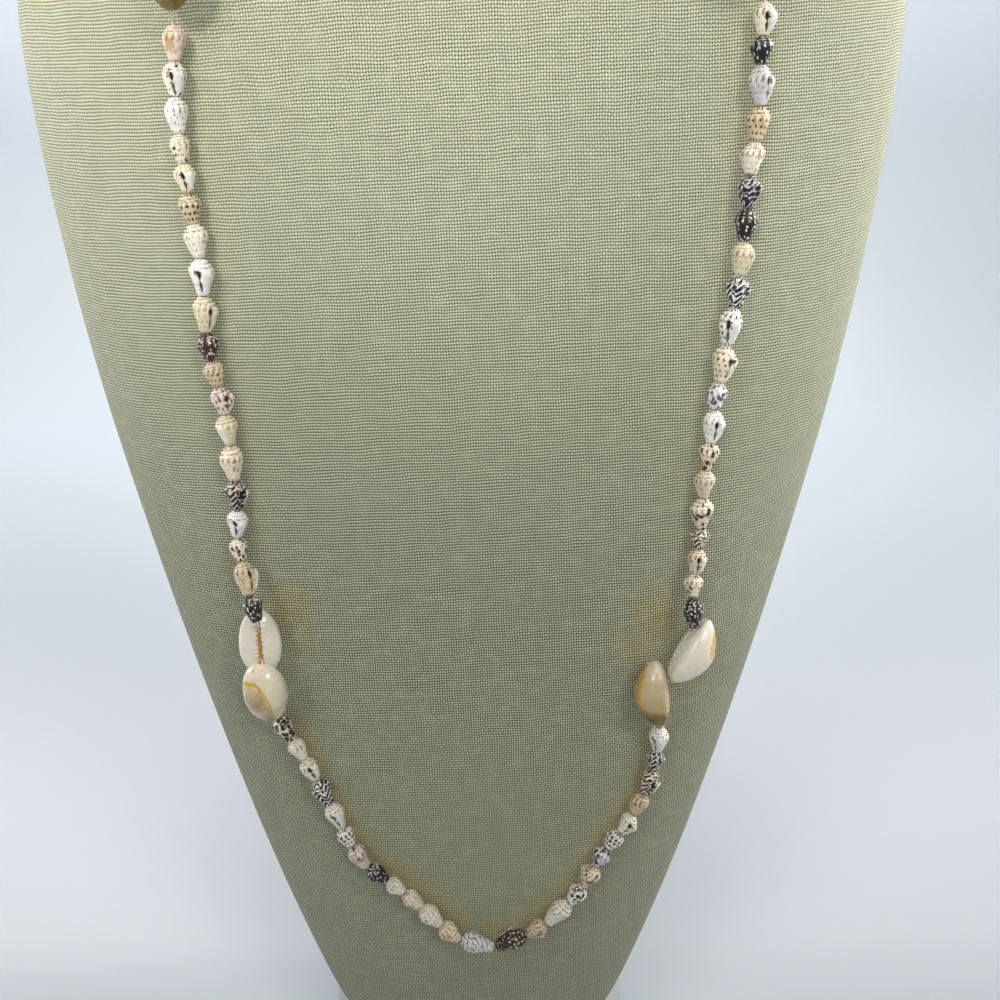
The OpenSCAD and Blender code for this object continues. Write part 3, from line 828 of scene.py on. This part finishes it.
def painted_strand_glow(points):
    """How far the chest takes the strands' warm glow, which is painted into the linen's
    colour: the strongest of many bell curves of the distance from a spot. The spots are
    the strands' joints, moved towards the middle of the loop, and the ones beside the cowries."""
    spots = list(GLOW_SPOTS)
    for places, shift, reach, strength in STRAND_GLOWS:
        spots += [[x, z, reach, strength] for x, _, z in places + shift]
    glow = np.zeros(len(points))
    for x, z, reach, strength in spots:
        gap = np.hypot(points[:, 0] - x, points[:, 2] - z)
        glow = np.maximum(glow, strength * bell(gap / reach))
    return np.where(points[:, 1] < 0, glow, 0)


def lathe(profile, columns):
    """A closed body of revolution about the z axis from rows of radius and height."""
    angle = 2 * np.pi * np.arange(columns) / columns
    radius, height = profile[:, :1], profile[:, 1:]
    return together(radius * np.cos(angle), radius * np.sin(angle), height)


# The dove shell's outline. Columns: share of its length, radius over its girth.
SHELL_OUTLINE = smooth_line([
    [0, 0.19], [0.05, 0.26], [0.12, 0.345], [0.22, 0.425], [0.35, 0.458], [0.5, 0.438],
    [0.68, 0.355], [0.84, 0.29], [0.94, 0.25], [1, 0.19]], 10)


def mouth_columns(count):
    """Angles round a shell from its mouth and back to it, closer together at the
    mouth and its lip: equal shares of the summed density 1 + 3 exp(-(d / 24)^2)
    + exp(-((d - 42) / 22)^2) of the angle d from the mouth."""
    d = np.linspace(0, -360, 1441)
    near = (d + 180) % 360 - 180
    dense = 1 + 3 * bell(near / 24) + bell((near - 42) / 22)
    total = np.concatenate([[0], np.cumsum((dense[1:] + dense[:-1]) / 2)])
    return np.interp(np.arange(count) / count * total[-1], total, d)


def shell_spire(v, d, phase):
    """The relief of dove shells at the share v of their length and the angle d.

    The groove is a bell curve along the whorls' screw line. The knobs follow the
    cosine of 11 times the angle, and stand out as beads between the grooves and on
    the shoulder, with dents between them.
    """
    pitch = 0.11
    grown = -d / 360
    whorl = (v - 0.14) / pitch - grown
    turn = whorl - np.floor(whorl)
    spire = ease(whorl, 1.0, 0.8) * ease(v, 0.0, 0.06)
    groove = bell(np.minimum(turn, 1 - turn) / 0.16) * spire
    knobs = 0.5 + 0.5 * np.cos(np.radians(11 * d) + 2.5 * v + phase)
    shoulder = bell((v - 0.33 - 0.06 * grown) / 0.09)
    beads = knobs * (bell((turn - 0.5) / 0.28) * spire + 0.8 * shoulder)
    return groove, beads, (1 - knobs) * shoulder


def shell_mouth(v, d):
    """How far a place is inside the mouth, a narrow slanting window that is pinched in
    the middle, and how far it is on the lip, a bell curve beside the window."""
    s = np.clip((v - 0.28) / 0.66, 0, 1)
    half_width = 17 * np.sin(np.pi * s**0.8)**0.6 * (1 - 0.8 * bell((s - 0.45) / 0.13))
    off = (d + 180) % 360 - 180 - 16 * (s - 0.45)
    inside = 1 / (1 + np.exp((np.abs(off) - half_width) / 1.6))
    inside = inside * ease(s, 0, 0.06) * ease(s, 1, 0.94)
    lip = bell((off - 44) / 25) * ease(v, 0.18, 0.42) * ease(v, 1.0, 0.74)
    return inside, lip


def small_shell_surface(shells, lengths, girth, rows, columns):
    """Dove shells in their own frames, x outwards and z from spire to canal.

    The radius is the outline's, times 0.95 to 1.06 as the last whorl grows round to
    the lip and times two slow waves that differ from shell to shell, less the groove,
    plus the beads and the lip, and just over half of that in the mouth. Each end is
    closed by the rim of the drilled hole and a ring further in.
    """
    mouth = np.array([row[1] for row in shells], float)[:, None, None]
    length = lengths[:, None, None]
    chance = np.random.default_rng(len(shells)).random((6, len(shells), 1, 1))
    wide = (girth + 0.24 * (length - SHELL_LENGTH)) * (0.96 + 0.08 * chance[0])
    v = np.linspace(0, 1, rows)[None, :, None]
    d = mouth_columns(columns)[None, None, :]
    grown = -d / 360
    outline = np.interp(v, SHELL_OUTLINE[:, 0], SHELL_OUTLINE[:, 1])
    groove, beads, dents = shell_spire(v, d, 6 * chance[3])
    inside, lip = shell_mouth(v, d)
    growth = 1 + ease(v, 0.26, 0.4) * (0.11 * grown - 0.055)
    lump = (0.045 * np.sin(np.radians(2 * d) + 2 * np.pi * chance[1] + 5 * v)
            + 0.025 * np.sin(np.radians(3 * d) + 2 * np.pi * chance[2] - 7 * v))
    radius = wide * (outline * (growth + lump * np.sin(np.pi * v)) - 0.05 * groove
                     + 0.04 * beads + 0.085 * lip)
    radius = radius * (1 - 0.45 * inside)
    sway = 0.035 * wide * np.sin(np.pi * v)
    bend = np.radians(d + mouth)
    x = radius * np.cos(bend)
    y = -radius * np.sin(bend) + sway * (2 * chance[4] - 1)
    body = together(x, y, length * v)

    first_rim, last_rim, inner = 0.62, 0.6, 0.45
    depth = np.array([0, 0, 0.6])
    hole = together(np.cos(bend), -np.sin(bend), 0 * bend)
    far = np.array([0, 0, 1]) * length[..., None]
    grid = np.concatenate([hole * inner + depth, hole * first_rim, body,
                           hole * last_rim + far, hole * inner + far - depth], axis=1)

    def with_ends(values, end=0.0):
        values = np.broadcast_to(values, radius.shape)
        pad = np.full((len(shells), 2, columns), end)
        return np.concatenate([pad, values, pad], axis=1)

    # The relief also sets the painted highlight on the beads and the painted shade in the
    # grooves.
    relief = 0.5 + 0.5 * beads - 0.34 * groove - 0.42 * dents
    # The ends count as mouth, so the drilled holes get its painted shade too.
    zones = together(with_ends(inside, 1.0), with_ends(lip), with_ends(relief, 0.5))
    mean_radius = 2.6
    u = np.append(grown.ravel(), 1) * 2 * np.pi * mean_radius
    reach = np.concatenate([[0, 0], v.ravel(), [1, 1]])[:, None]
    return grid, zones, together(u, reach * length)


def laid(points, starts, ends, out):
    """Points from frames with z from start to end and x towards out, as in space."""
    z = unit(ends - starts)
    x = square_to(np.asarray(out, float), z)
    y = np.cross(z, x)
    shape = (len(starts),) + (1,) * (points.ndim - 2)
    axes = [axis.reshape(shape + (3,)) for axis in (x, y, z)]
    place = starts.reshape(shape + (3,))
    return place + sum(points[..., k:k + 1] * axes[k] for k in range(3))


def shell_ends(places, gap, end_gap, end_radius):
    """Where each small shell starts and ends: the string's joints, less half the gap
    and what a shell's end radius needs where the string bends, times tan(bend / 2)."""
    step = unit(np.diff(places, axis=0))
    bend = np.arccos(np.minimum(np.sum(step[1:] * step[:-1], axis=1), 1))
    give = np.concatenate([[end_gap], gap / 2 + end_radius * np.tan(bend / 2), [end_gap]])
    return (places[:-1] + step * give[:-1, None], places[1:] - step * give[1:, None])


def add_small_shells(name, shells, places, out, settings, replaced, turned_from,
                     rows=38, columns=72):
    """One stretch of small shells as one piece. Those from turned_from on lie with
    their spires at the stretch's far end."""
    starts, ends = shell_ends(places, SHELL_GAP, END_GAP, END_RADIUS)
    turned = (np.arange(len(shells)) >= turned_from)[:, None]
    starts, ends = np.where(turned, ends, starts), np.where(turned, starts, ends)
    lengths = np.linalg.norm(ends - starts, axis=1)
    grid, zones, lay = small_shell_surface(
        shells, lengths, settings.shell_girth * 1000, rows, columns)
    lid_lay = np.stack([lay[:, 0, :-1][:, ::-1], lay[:, -1, :-1]], axis=1)
    points, faces, corners = closed_grids(laid(grid, starts, ends, out), lay, lid_lay)

    def each(values):
        return np.repeat(np.asarray(values, float), len(points) // len(shells), axis=0)

    strength = np.array([[row[5] * (row[4] == kind) for kind in PATTERNS] for row in shells])
    seed = (np.arange(len(shells)) * 7.31 + len(name)) % 97
    marks = {
        "ground": each([PAINTS[row[2]] for row in shells]),
        "ink": each([PAINTS[row[3]] for row in shells]),
        "marks": each(strength[:, :3]),
        "nature": each(together(seed, [row[6] for row in shells], strength[:, 3])),
        "zones": zones,
    }
    finish = bpy.data.materials.get("dove_shell") or small_shell_finish()
    piece = add_piece(name, points, faces, finish, replaced, corners, marks)


def cowrie_columns(near_slit=22, elsewhere=34):
    """Angles round a cowrie from the middle of its slit and back to it, dense where
    the slit and the teeth are."""
    edge = 28
    fine = np.linspace(0, edge, near_slit, endpoint=False)
    wide = np.linspace(edge, 180, elsewhere, endpoint=False)
    half = np.concatenate([fine, wide])
    return np.radians(np.concatenate([half, [180], 360 - half[:0:-1]]))


def cowrie_teeth(across, s, z):
    """The slit of a cowrie and the ridges beside it. The slit's half width and the
    ridges follow the teeth, a cosine along the shell raised to a power, which is half
    a tooth further on at the slit's right."""
    off = across - 0.22 * np.sin(1.5 * s)
    left = off > 0
    phase = np.where(left, 0.0, 0.5)
    tooth = (0.5 + 0.5 * np.cos(2 * np.pi * (z / TOOTH_STEP + phase)))**1.4
    tooth = tooth * ease(np.abs(s), 0.93, 0.8)
    gap = 0.66 + 0.12 * s - 0.3 * tooth
    slit = 1 / (1 + np.exp((np.abs(off) - gap) / 0.07))
    reach = np.where(left, 2.3, 1.0)
    ridge = tooth * bell(np.maximum(np.abs(off) - gap, 0) / reach)
    return slit, ridge


def cowrie_tints(s, angle, angle_back, ring, stains):
    """Where the ring and the stains of a cowrie are.

    The gold ring runs where (|angle|^2.6 + |s|^2.6)^(1 / 2.6), both taken from its
    middle as shares of its reach, is 1. The more golden the lower tip, the further up
    it starts.
    """
    middle_angle, half_angle, middle_s, half_s = ring
    tan, margin, gold, lower_tip = stains
    far = (np.abs((-angle_back - middle_angle) / half_angle)**2.6
           + np.abs((s - middle_s) / half_s)**2.6)**(1 / 2.6)
    tip = ease(s + 0.05 * np.cos(3 * angle), 0.95 - 0.85 * lower_tip, 1.35 - 0.7 * lower_tip)
    rings = together(far - 1, tan, margin * (1 - 0.6 * ease(-s, 0.3, 0.95)))
    return rings, together(tip, gold, 1 - far)


def cowrie_surface(length, lean, width, ring, stains, stations):
    """One ring cowrie in its own frame, x the way its base faces, z along it.

    At the share s of the half length the half width is the width times
    (1 - (k|s|)^2.1)^0.55, the back stands (1 - (k|s|)^1.7)^0.8 out, and k closes the
    ends. Across a section the base follows cos^0.6 and the back cos^0.8 of the angle.
    The slit sinks in between the teeth, and a pit with a low rim marks the spire.
    """
    t = np.linspace(-1, 1, stations)
    s = np.sin(t * np.pi / 2)[:, None] * 1.012
    k = 0.96 + (1 / 1.0125 - 0.96) * ease(np.abs(s), 0.8, 1.01)
    angle = cowrie_columns()[None]
    body = np.maximum(1 - (k * np.abs(s))**2.1, 0)**0.55
    dome = np.maximum(1 - (k * np.abs(s))**1.7, 0)**0.8
    c = np.cos(angle)
    base = COWRIE_BASE * body * np.maximum(c, 0)**0.6
    back = -COWRIE_BACK * dome * np.maximum(-c, 0)**0.8
    out = np.where(c > 0, base, back)
    across = width / 2 * body * (1 + lean * s) * np.sin(angle)
    z = (s + 1) * length / 2

    slit, ridge = (part * (c > 0) for part in cowrie_teeth(across, s, z))
    out = out + 0.2 * ridge * ease(np.abs(s), 0.98, 0.85) - SLIT_DEPTH * slit * body
    side = np.sign(np.sin(angle)) * np.pi / 2
    angle_back = np.degrees(np.where(c < 0, np.pi - angle, side))
    pit = ((angle_back + 30) / 12)**2 + ((s + 0.88) / 0.05)**2
    out = out + (0.45 * np.exp(-pit) - 0.12 * bell(2 * (np.sqrt(pit) - 1.8))) * (c < 0)
    rings, tints = cowrie_tints(s, angle, angle_back, ring, stains)
    marks = {
        "zones": together(slit, ridge, -c),
        "ring": rings,
        "stains": tints,
        "place": together(across, out, z),
    }
    return together(out, across, z), marks


def cowrie_points():
    """Both ends of every cowrie, in space."""
    return on_chest([row[1] for row in COWRIES]), on_chest([row[2] for row in COWRIES])


def add_cowrie(index, settings):
    """One cowrie as one piece."""
    name, _, _, base_way, lean, ring, stains = COWRIES[index]
    upper, lower = (points[index:index + 1] for points in cowrie_points())
    length = float(np.linalg.norm(lower - upper))
    hidden = index >= LEFT_SHOULDER_UPPER
    grid, marks = cowrie_surface(length, lean, settings.cowrie_width * 1000, ring, stains,
                                 stations=84 if hidden else 128)
    points, faces, _ = closed_grids(laid(grid[None], upper, lower, [base_way]))
    finish = bpy.data.materials.get("ring_cowrie") or cowrie_finish(settings)
    piece = add_piece(name.replace("cowrie", "ring_cowrie"), points, faces, finish, [name],
                      marks=marks)


def thread_route():
    """The thread's bends once round the loop: straight through the small shells, in
    at one cowrie's slit, across to its partner's and out at the partner's end."""
    upper, lower = cowrie_points()
    along = unit(lower - upper)
    base_way = square_to(np.array([row[3] for row in COWRIES], float), along)

    def core(c, s):
        return (upper[c] + lower[c]) / 2 + (lower[c] - upper[c]) / 2 * s

    def mouth(c, s):
        body = (1 - (0.96 * abs(s))**2.1)**0.55
        return core(c, s) + base_way[c] * (COWRIE_BASE * body + 0.5)

    def notch(c, s):
        return core(c, s) + base_way[c] * 0.3

    def into(c):
        return [mouth(c, -0.5), core(c, -0.25), core(c, 0.4)]

    def overlapped(c, d):
        return np.array(into(c) + [mouth(c, 0.7), mouth(d, -0.75), core(d, -0.45),
                                   core(d, 0.5), notch(d, 1)])

    def touching(c, d):
        return np.array(into(c) + [notch(c, 1), mouth(d, -0.4), core(d, -0.1),
                                   core(d, 0.5), notch(d, 1)])

    return np.vstack([
        LEFT_JOINTS,
        overlapped(LEFT_UPPER, LEFT_LOWER),
        ARC_JOINTS,
        touching(RIGHT_UPPER, RIGHT_LOWER)[::-1],
        RIGHT_JOINTS[::-1],
        overlapped(RIGHT_SHOULDER_UPPER, RIGHT_SHOULDER_LOWER)[::-1],
        NAPE_JOINTS[::-1],
        overlapped(LEFT_SHOULDER_UPPER, LEFT_SHOULDER_LOWER),
    ])


def twisted_thread(route, diameter, spacing=0.45, sides=10, lay_length=2.4):
    """A two-ply thread along a closed route: its radius is the thread's times
    0.78 + 0.22 |cos|, where the cosine's angle turns once in two lay lengths.

    The route's corners are rounded by a running average of three places. Each ring
    lies square to the route, its first side square to one fixed slanting direction.
    """
    closed = np.vstack([route, route[:1]])
    s = running_length(closed)
    count = int(round(s[-1] / spacing))
    at = np.arange(count) * s[-1] / count
    line = places_along(closed, s, at)
    line = sum(np.roll(line, k, axis=0) for k in range(-1, 2)) / 3
    along = unit(np.roll(line, -1, axis=0) - np.roll(line, 1, axis=0))
    side = unit(np.cross(along, [0.3, 0.9, 0.31]))
    other = np.cross(along, side)
    angle = 2 * np.pi * np.arange(sides) / sides
    turn = np.pi * at / lay_length
    turns = round(turn[-1] / np.pi) * np.pi
    turn = turn * turns / (turn[-1] + turn[1] - turn[0])
    radius = diameter / 2 * (0.78 + 0.22 * np.abs(np.cos(angle - turn[:, None])))
    ring = (np.cos(angle)[None, :, None] * side[:, None]
            + np.sin(angle)[None, :, None] * other[:, None])
    grid = line[:, None] + ring * radius[..., None]
    lay = together(np.arange(sides + 1) / sides, np.append(at, s[-1])[:, None])
    return grid, lay


# The add-on.

def colour_setting(name, description, *levels):
    """A colour from its three screen levels."""
    return bpy.props.FloatVectorProperty(name=name, description=description, subtype="COLOR",
                                         size=3, min=0, max=1, default=linear(*levels))


def length_setting(name, description, default, low, high):
    """A length in metres."""
    return bpy.props.FloatProperty(name=name, description=description, unit="LENGTH",
                                   precision=5, default=default, min=low, max=high)


class NecklaceSettings(bpy.types.PropertyGroup):
    """Sizes and colours of the necklace and its bust."""

    linen_colour: colour_setting(
        "Linen", "Colour of the linen's crosswise threads", 213, 215, 185)
    linen_dark: colour_setting(
        "Linen, darker", "Colour of the linen's lengthwise threads", 195, 198, 167)
    base_colour: colour_setting(
        "Base", "Colour of the painted disc under the bust", 224, 225, 222)
    thread_colour: colour_setting("Thread", "Colour of the thread", 232, 222, 200)
    cowrie_colour: colour_setting("Cowrie", "Colour of the cowries' bases", 238, 231, 214)
    ring_colour: colour_setting(
        "Gold ring", "Colour of the ring on the cowries' backs", 214, 176, 52)
    warp_pitch: length_setting(
        "Warp pitch", "Distance between the linen's lengthwise threads", 0.0007, 0.0004, 0.002)
    weft_pitch: length_setting(
        "Weft pitch", "Distance between the linen's crosswise threads", 0.00081, 0.0004, 0.002)
    shell_girth: length_setting(
        "Shell girth", "Girth of a small shell of the usual length", 0.006, 0.0056, 0.0062)
    cowrie_width: length_setting(
        "Cowrie width", "Width of a cowrie from margin to margin", 0.0117, 0.0113, 0.0121)
    thread_diameter: length_setting(
        "Thread diameter", "Thickness of the thread", 0.0007, 0.0005, 0.0008)


class NECKLACE_OT_stage(bpy.types.Operator):
    """Adds the camera, the soft studio lights and the plain pale floor"""

    bl_idname = "necklace.stage"
    bl_label = "Stage and camera"

    def execute(self, context):
        scene = context.scene
        lens = bpy.data.cameras.new("camera")
        lens.sensor_width = 36
        lens.lens = 36
        lens.clip_start = 0.01
        camera = bpy.data.objects.new("camera", lens)
        tilt = Matrix.Rotation(math.radians(CAMERA_TILT), 4, "X")
        roll = Matrix.Rotation(math.radians(CAMERA_ROLL), 4, "Z")
        camera.matrix_world = Matrix.Translation(CAMERA_PLACE) @ tilt @ roll
        scene.collection.objects.link(camera)
        scene.camera = camera
        scene.view_settings.view_transform = "Standard"
        self.surroundings(scene)
        for row in LIGHTS:
            self.lamp(scene, *row)
        self.floor(scene)
        return {"FINISHED"}

    def surroundings(self, scene):
        """A faint light from all sides, which the camera sees as a pale backdrop."""
        world = bpy.data.worlds.new("studio")
        world.use_nodes = True
        tree = world.node_tree
        lit = tree.nodes["Background"]
        lit.inputs[0].default_value = (*linear(232, 238, 246), 1)
        lit.inputs[1].default_value = 0.01
        seen = tree.nodes.new("ShaderNodeBackground")
        seen.inputs[0].default_value = (*linear(222, 228, 233), 1)
        path = tree.nodes.new("ShaderNodeLightPath")
        either = tree.nodes.new("ShaderNodeMixShader")
        tree.links.new(path.outputs["Is Camera Ray"], either.inputs[0])
        tree.links.new(lit.outputs[0], either.inputs[1])
        tree.links.new(seen.outputs[0], either.inputs[2])
        tree.links.new(either.outputs[0], tree.nodes["World Output"].inputs[0])
        scene.world = world

    def lamp(self, scene, name, place, aim, size, spread, power, colour):
        """One rectangular soft light, aimed at a place."""
        light = bpy.data.lights.new(name, "AREA")
        light.shape = "RECTANGLE"
        light.size, light.size_y = size
        light.spread = math.radians(spread)
        light.energy = power
        light.color = colour
        lamp = bpy.data.objects.new(name, light)
        lamp.location = place
        way = Vector(aim) - Vector(place)
        lamp.rotation_euler = way.to_track_quat("-Z", "Y").to_euler()
        scene.collection.objects.link(lamp)

    def floor(self, scene):
        """The flat floor and the wall behind it, joined by a quarter circle."""
        level = np.linspace(-FLOOR_REACH, BEND_START, 12)
        bend = np.linspace(0, np.pi / 2, 20)[1:]
        y = np.concatenate([level, BEND_START + BEND_RADIUS * np.sin(bend),
                            [BEND_START + BEND_RADIUS]])
        z = np.concatenate([0 * level, BEND_RADIUS - BEND_RADIUS * np.cos(bend), [WALL_TOP]])
        grid = together(np.linspace(-FLOOR_REACH, FLOOR_REACH, 3), y[:, None], z[:, None])
        rows, columns = grid.shape[:2]
        i = np.arange(rows - 1)[:, None] * columns + np.arange(columns - 1)
        quads = together(i, i + 1, i + columns + 1, i + columns).reshape(-1, 4)
        mesh = bpy.data.meshes.new("floor")
        mesh.from_pydata(grid.reshape(-1, 3).tolist(), [], quads.tolist())
        mesh.polygons.foreach_set("use_smooth", np.ones(len(quads), bool))
        mesh.materials.append(floor_finish())
        floor = bpy.data.objects.new("floor", mesh)
        scene.collection.objects.link(floor)


class NECKLACE_OT_bust(bpy.types.Operator):
    """Adds the padded neck bust in its linen cover"""

    bl_idname = "necklace.bust"
    bl_label = "Neck bust"

    def execute(self, context):
        grid, lay = bust_surface()
        lid_lay = np.stack([grid[0, ::-1, :2], grid[-1, :, :2]])
        points, faces, corners = closed_grids(grid[None], lay, lid_lay)
        marks = {"painted_glow": np.repeat(painted_strand_glow(points)[:, None], 3, axis=1)}
        piece = add_piece("linen_bust", points, faces, linen_finish(context.scene.necklace),
                          ["bust_form"], corners, marks)
        return {"FINISHED"}


class NECKLACE_OT_base(bpy.types.Operator):
    """Adds the disc that the bust stands on"""

    bl_idname = "necklace.base"
    bl_label = "Base disc"

    def execute(self, context):
        angle = np.linspace(0, np.pi / 2, 9)
        inner = BASE_RADIUS - BASE_EDGE
        lower = together(inner + BASE_EDGE * np.sin(angle), BASE_EDGE - BASE_EDGE * np.cos(angle))
        upper = together(inner + BASE_EDGE * np.cos(angle),
                         BASE_THICKNESS - BASE_EDGE + BASE_EDGE * np.sin(angle))
        grid = lathe(np.vstack([[[20, 0]], lower, upper, [[20, BASE_THICKNESS]]]), 128)
        points, faces, _ = closed_grids(grid[None])
        piece = add_piece("painted_base", points, faces,
                          base_finish(context.scene.necklace), ["base_disc"])
        return {"FINISHED"}


class NECKLACE_OT_thread(bpy.types.Operator):
    """Adds the thread that holds the loop together"""

    bl_idname = "necklace.thread"
    bl_label = "Thread"

    def execute(self, context):
        settings = context.scene.necklace
        grid, lay = twisted_thread(thread_route(), settings.thread_diameter * 1000)
        rows, columns = grid.shape[:2]
        wrapped = tube_faces(rows + 1, columns) % (rows * columns)
        piece = add_piece("twisted_thread", grid.reshape(-1, 3), [wrapped],
                          thread_finish(settings), ["thread"], tube_corners(lay))
        return {"FINISHED"}


class NECKLACE_OT_front_shells(bpy.types.Operator):
    """Adds the small dove shells of both sides and the lower arc"""

    bl_idname = "necklace.front_shells"
    bl_label = "Front shells"

    def execute(self, context):
        for name, shells, places, turned_from in [
                ["left_dove_shells", LEFT_SHELLS, LEFT_JOINTS, len(LEFT_SHELLS)],
                ["right_dove_shells", RIGHT_SHELLS, RIGHT_JOINTS, len(RIGHT_SHELLS)],
                ["arc_dove_shells", ARC_SHELLS, ARC_JOINTS, ARC_TURNED_FROM]]:
            add_small_shells(name, shells, places, OUT_CHEST, context.scene.necklace,
                             ["front_shells"], turned_from)
        return {"FINISHED"}


class NECKLACE_OT_nape_shells(bpy.types.Operator):
    """Adds the small dove shells round the nape"""

    bl_idname = "necklace.nape_shells"
    bl_label = "Nape shells"

    def execute(self, context):
        add_small_shells("nape_dove_shells", NAPE_SHELLS, NAPE_JOINTS, OUT_NAPE,
                         context.scene.necklace, ["back_shells"], len(NAPE_SHELLS), 26, 48)
        return {"FINISHED"}


class NECKLACE_OT_cowries(bpy.types.Operator):
    """Adds the four pairs of ring cowries"""

    bl_idname = "necklace.cowries"
    bl_label = "Cowries"

    def execute(self, context):
        for index in range(len(COWRIES)):
            add_cowrie(index, context.scene.necklace)
        return {"FINISHED"}


class NECKLACE_PT_pieces(bpy.types.Panel):
    """Lists the necklace's sizes, colours and pieces"""

    bl_idname = "NECKLACE_PT_pieces"
    bl_label = "Cowrie shell necklace"
    bl_space_type = "VIEW_3D"
    bl_region_type = "UI"
    bl_category = "Necklace"

    def draw(self, context):
        settings = context.scene.necklace
        for key in NecklaceSettings.__annotations__:
            self.layout.prop(settings, key)
        for operator in OPERATORS:
            self.layout.operator(operator.bl_idname)


OPERATORS = [
    NECKLACE_OT_stage,
    NECKLACE_OT_bust,
    NECKLACE_OT_base,
    NECKLACE_OT_thread,
    NECKLACE_OT_front_shells,
    NECKLACE_OT_nape_shells,
    NECKLACE_OT_cowries,
]
CLASSES = [NecklaceSettings, *OPERATORS, NECKLACE_PT_pieces]


def register():
    for cls in CLASSES:
        bpy.utils.register_class(cls)
    bpy.types.Scene.necklace = bpy.props.PointerProperty(type=NecklaceSettings)


def unregister():
    del bpy.types.Scene.necklace
    for cls in reversed(CLASSES):
        bpy.utils.unregister_class(cls)


def main():
    register()
    bpy.ops.necklace.stage()
    bpy.ops.necklace.bust()
    bpy.ops.necklace.base()
    bpy.ops.necklace.thread()
    bpy.ops.necklace.front_shells()
    bpy.ops.necklace.nape_shells()
    bpy.ops.necklace.cowries()


if __name__ == "__main__":
    main()
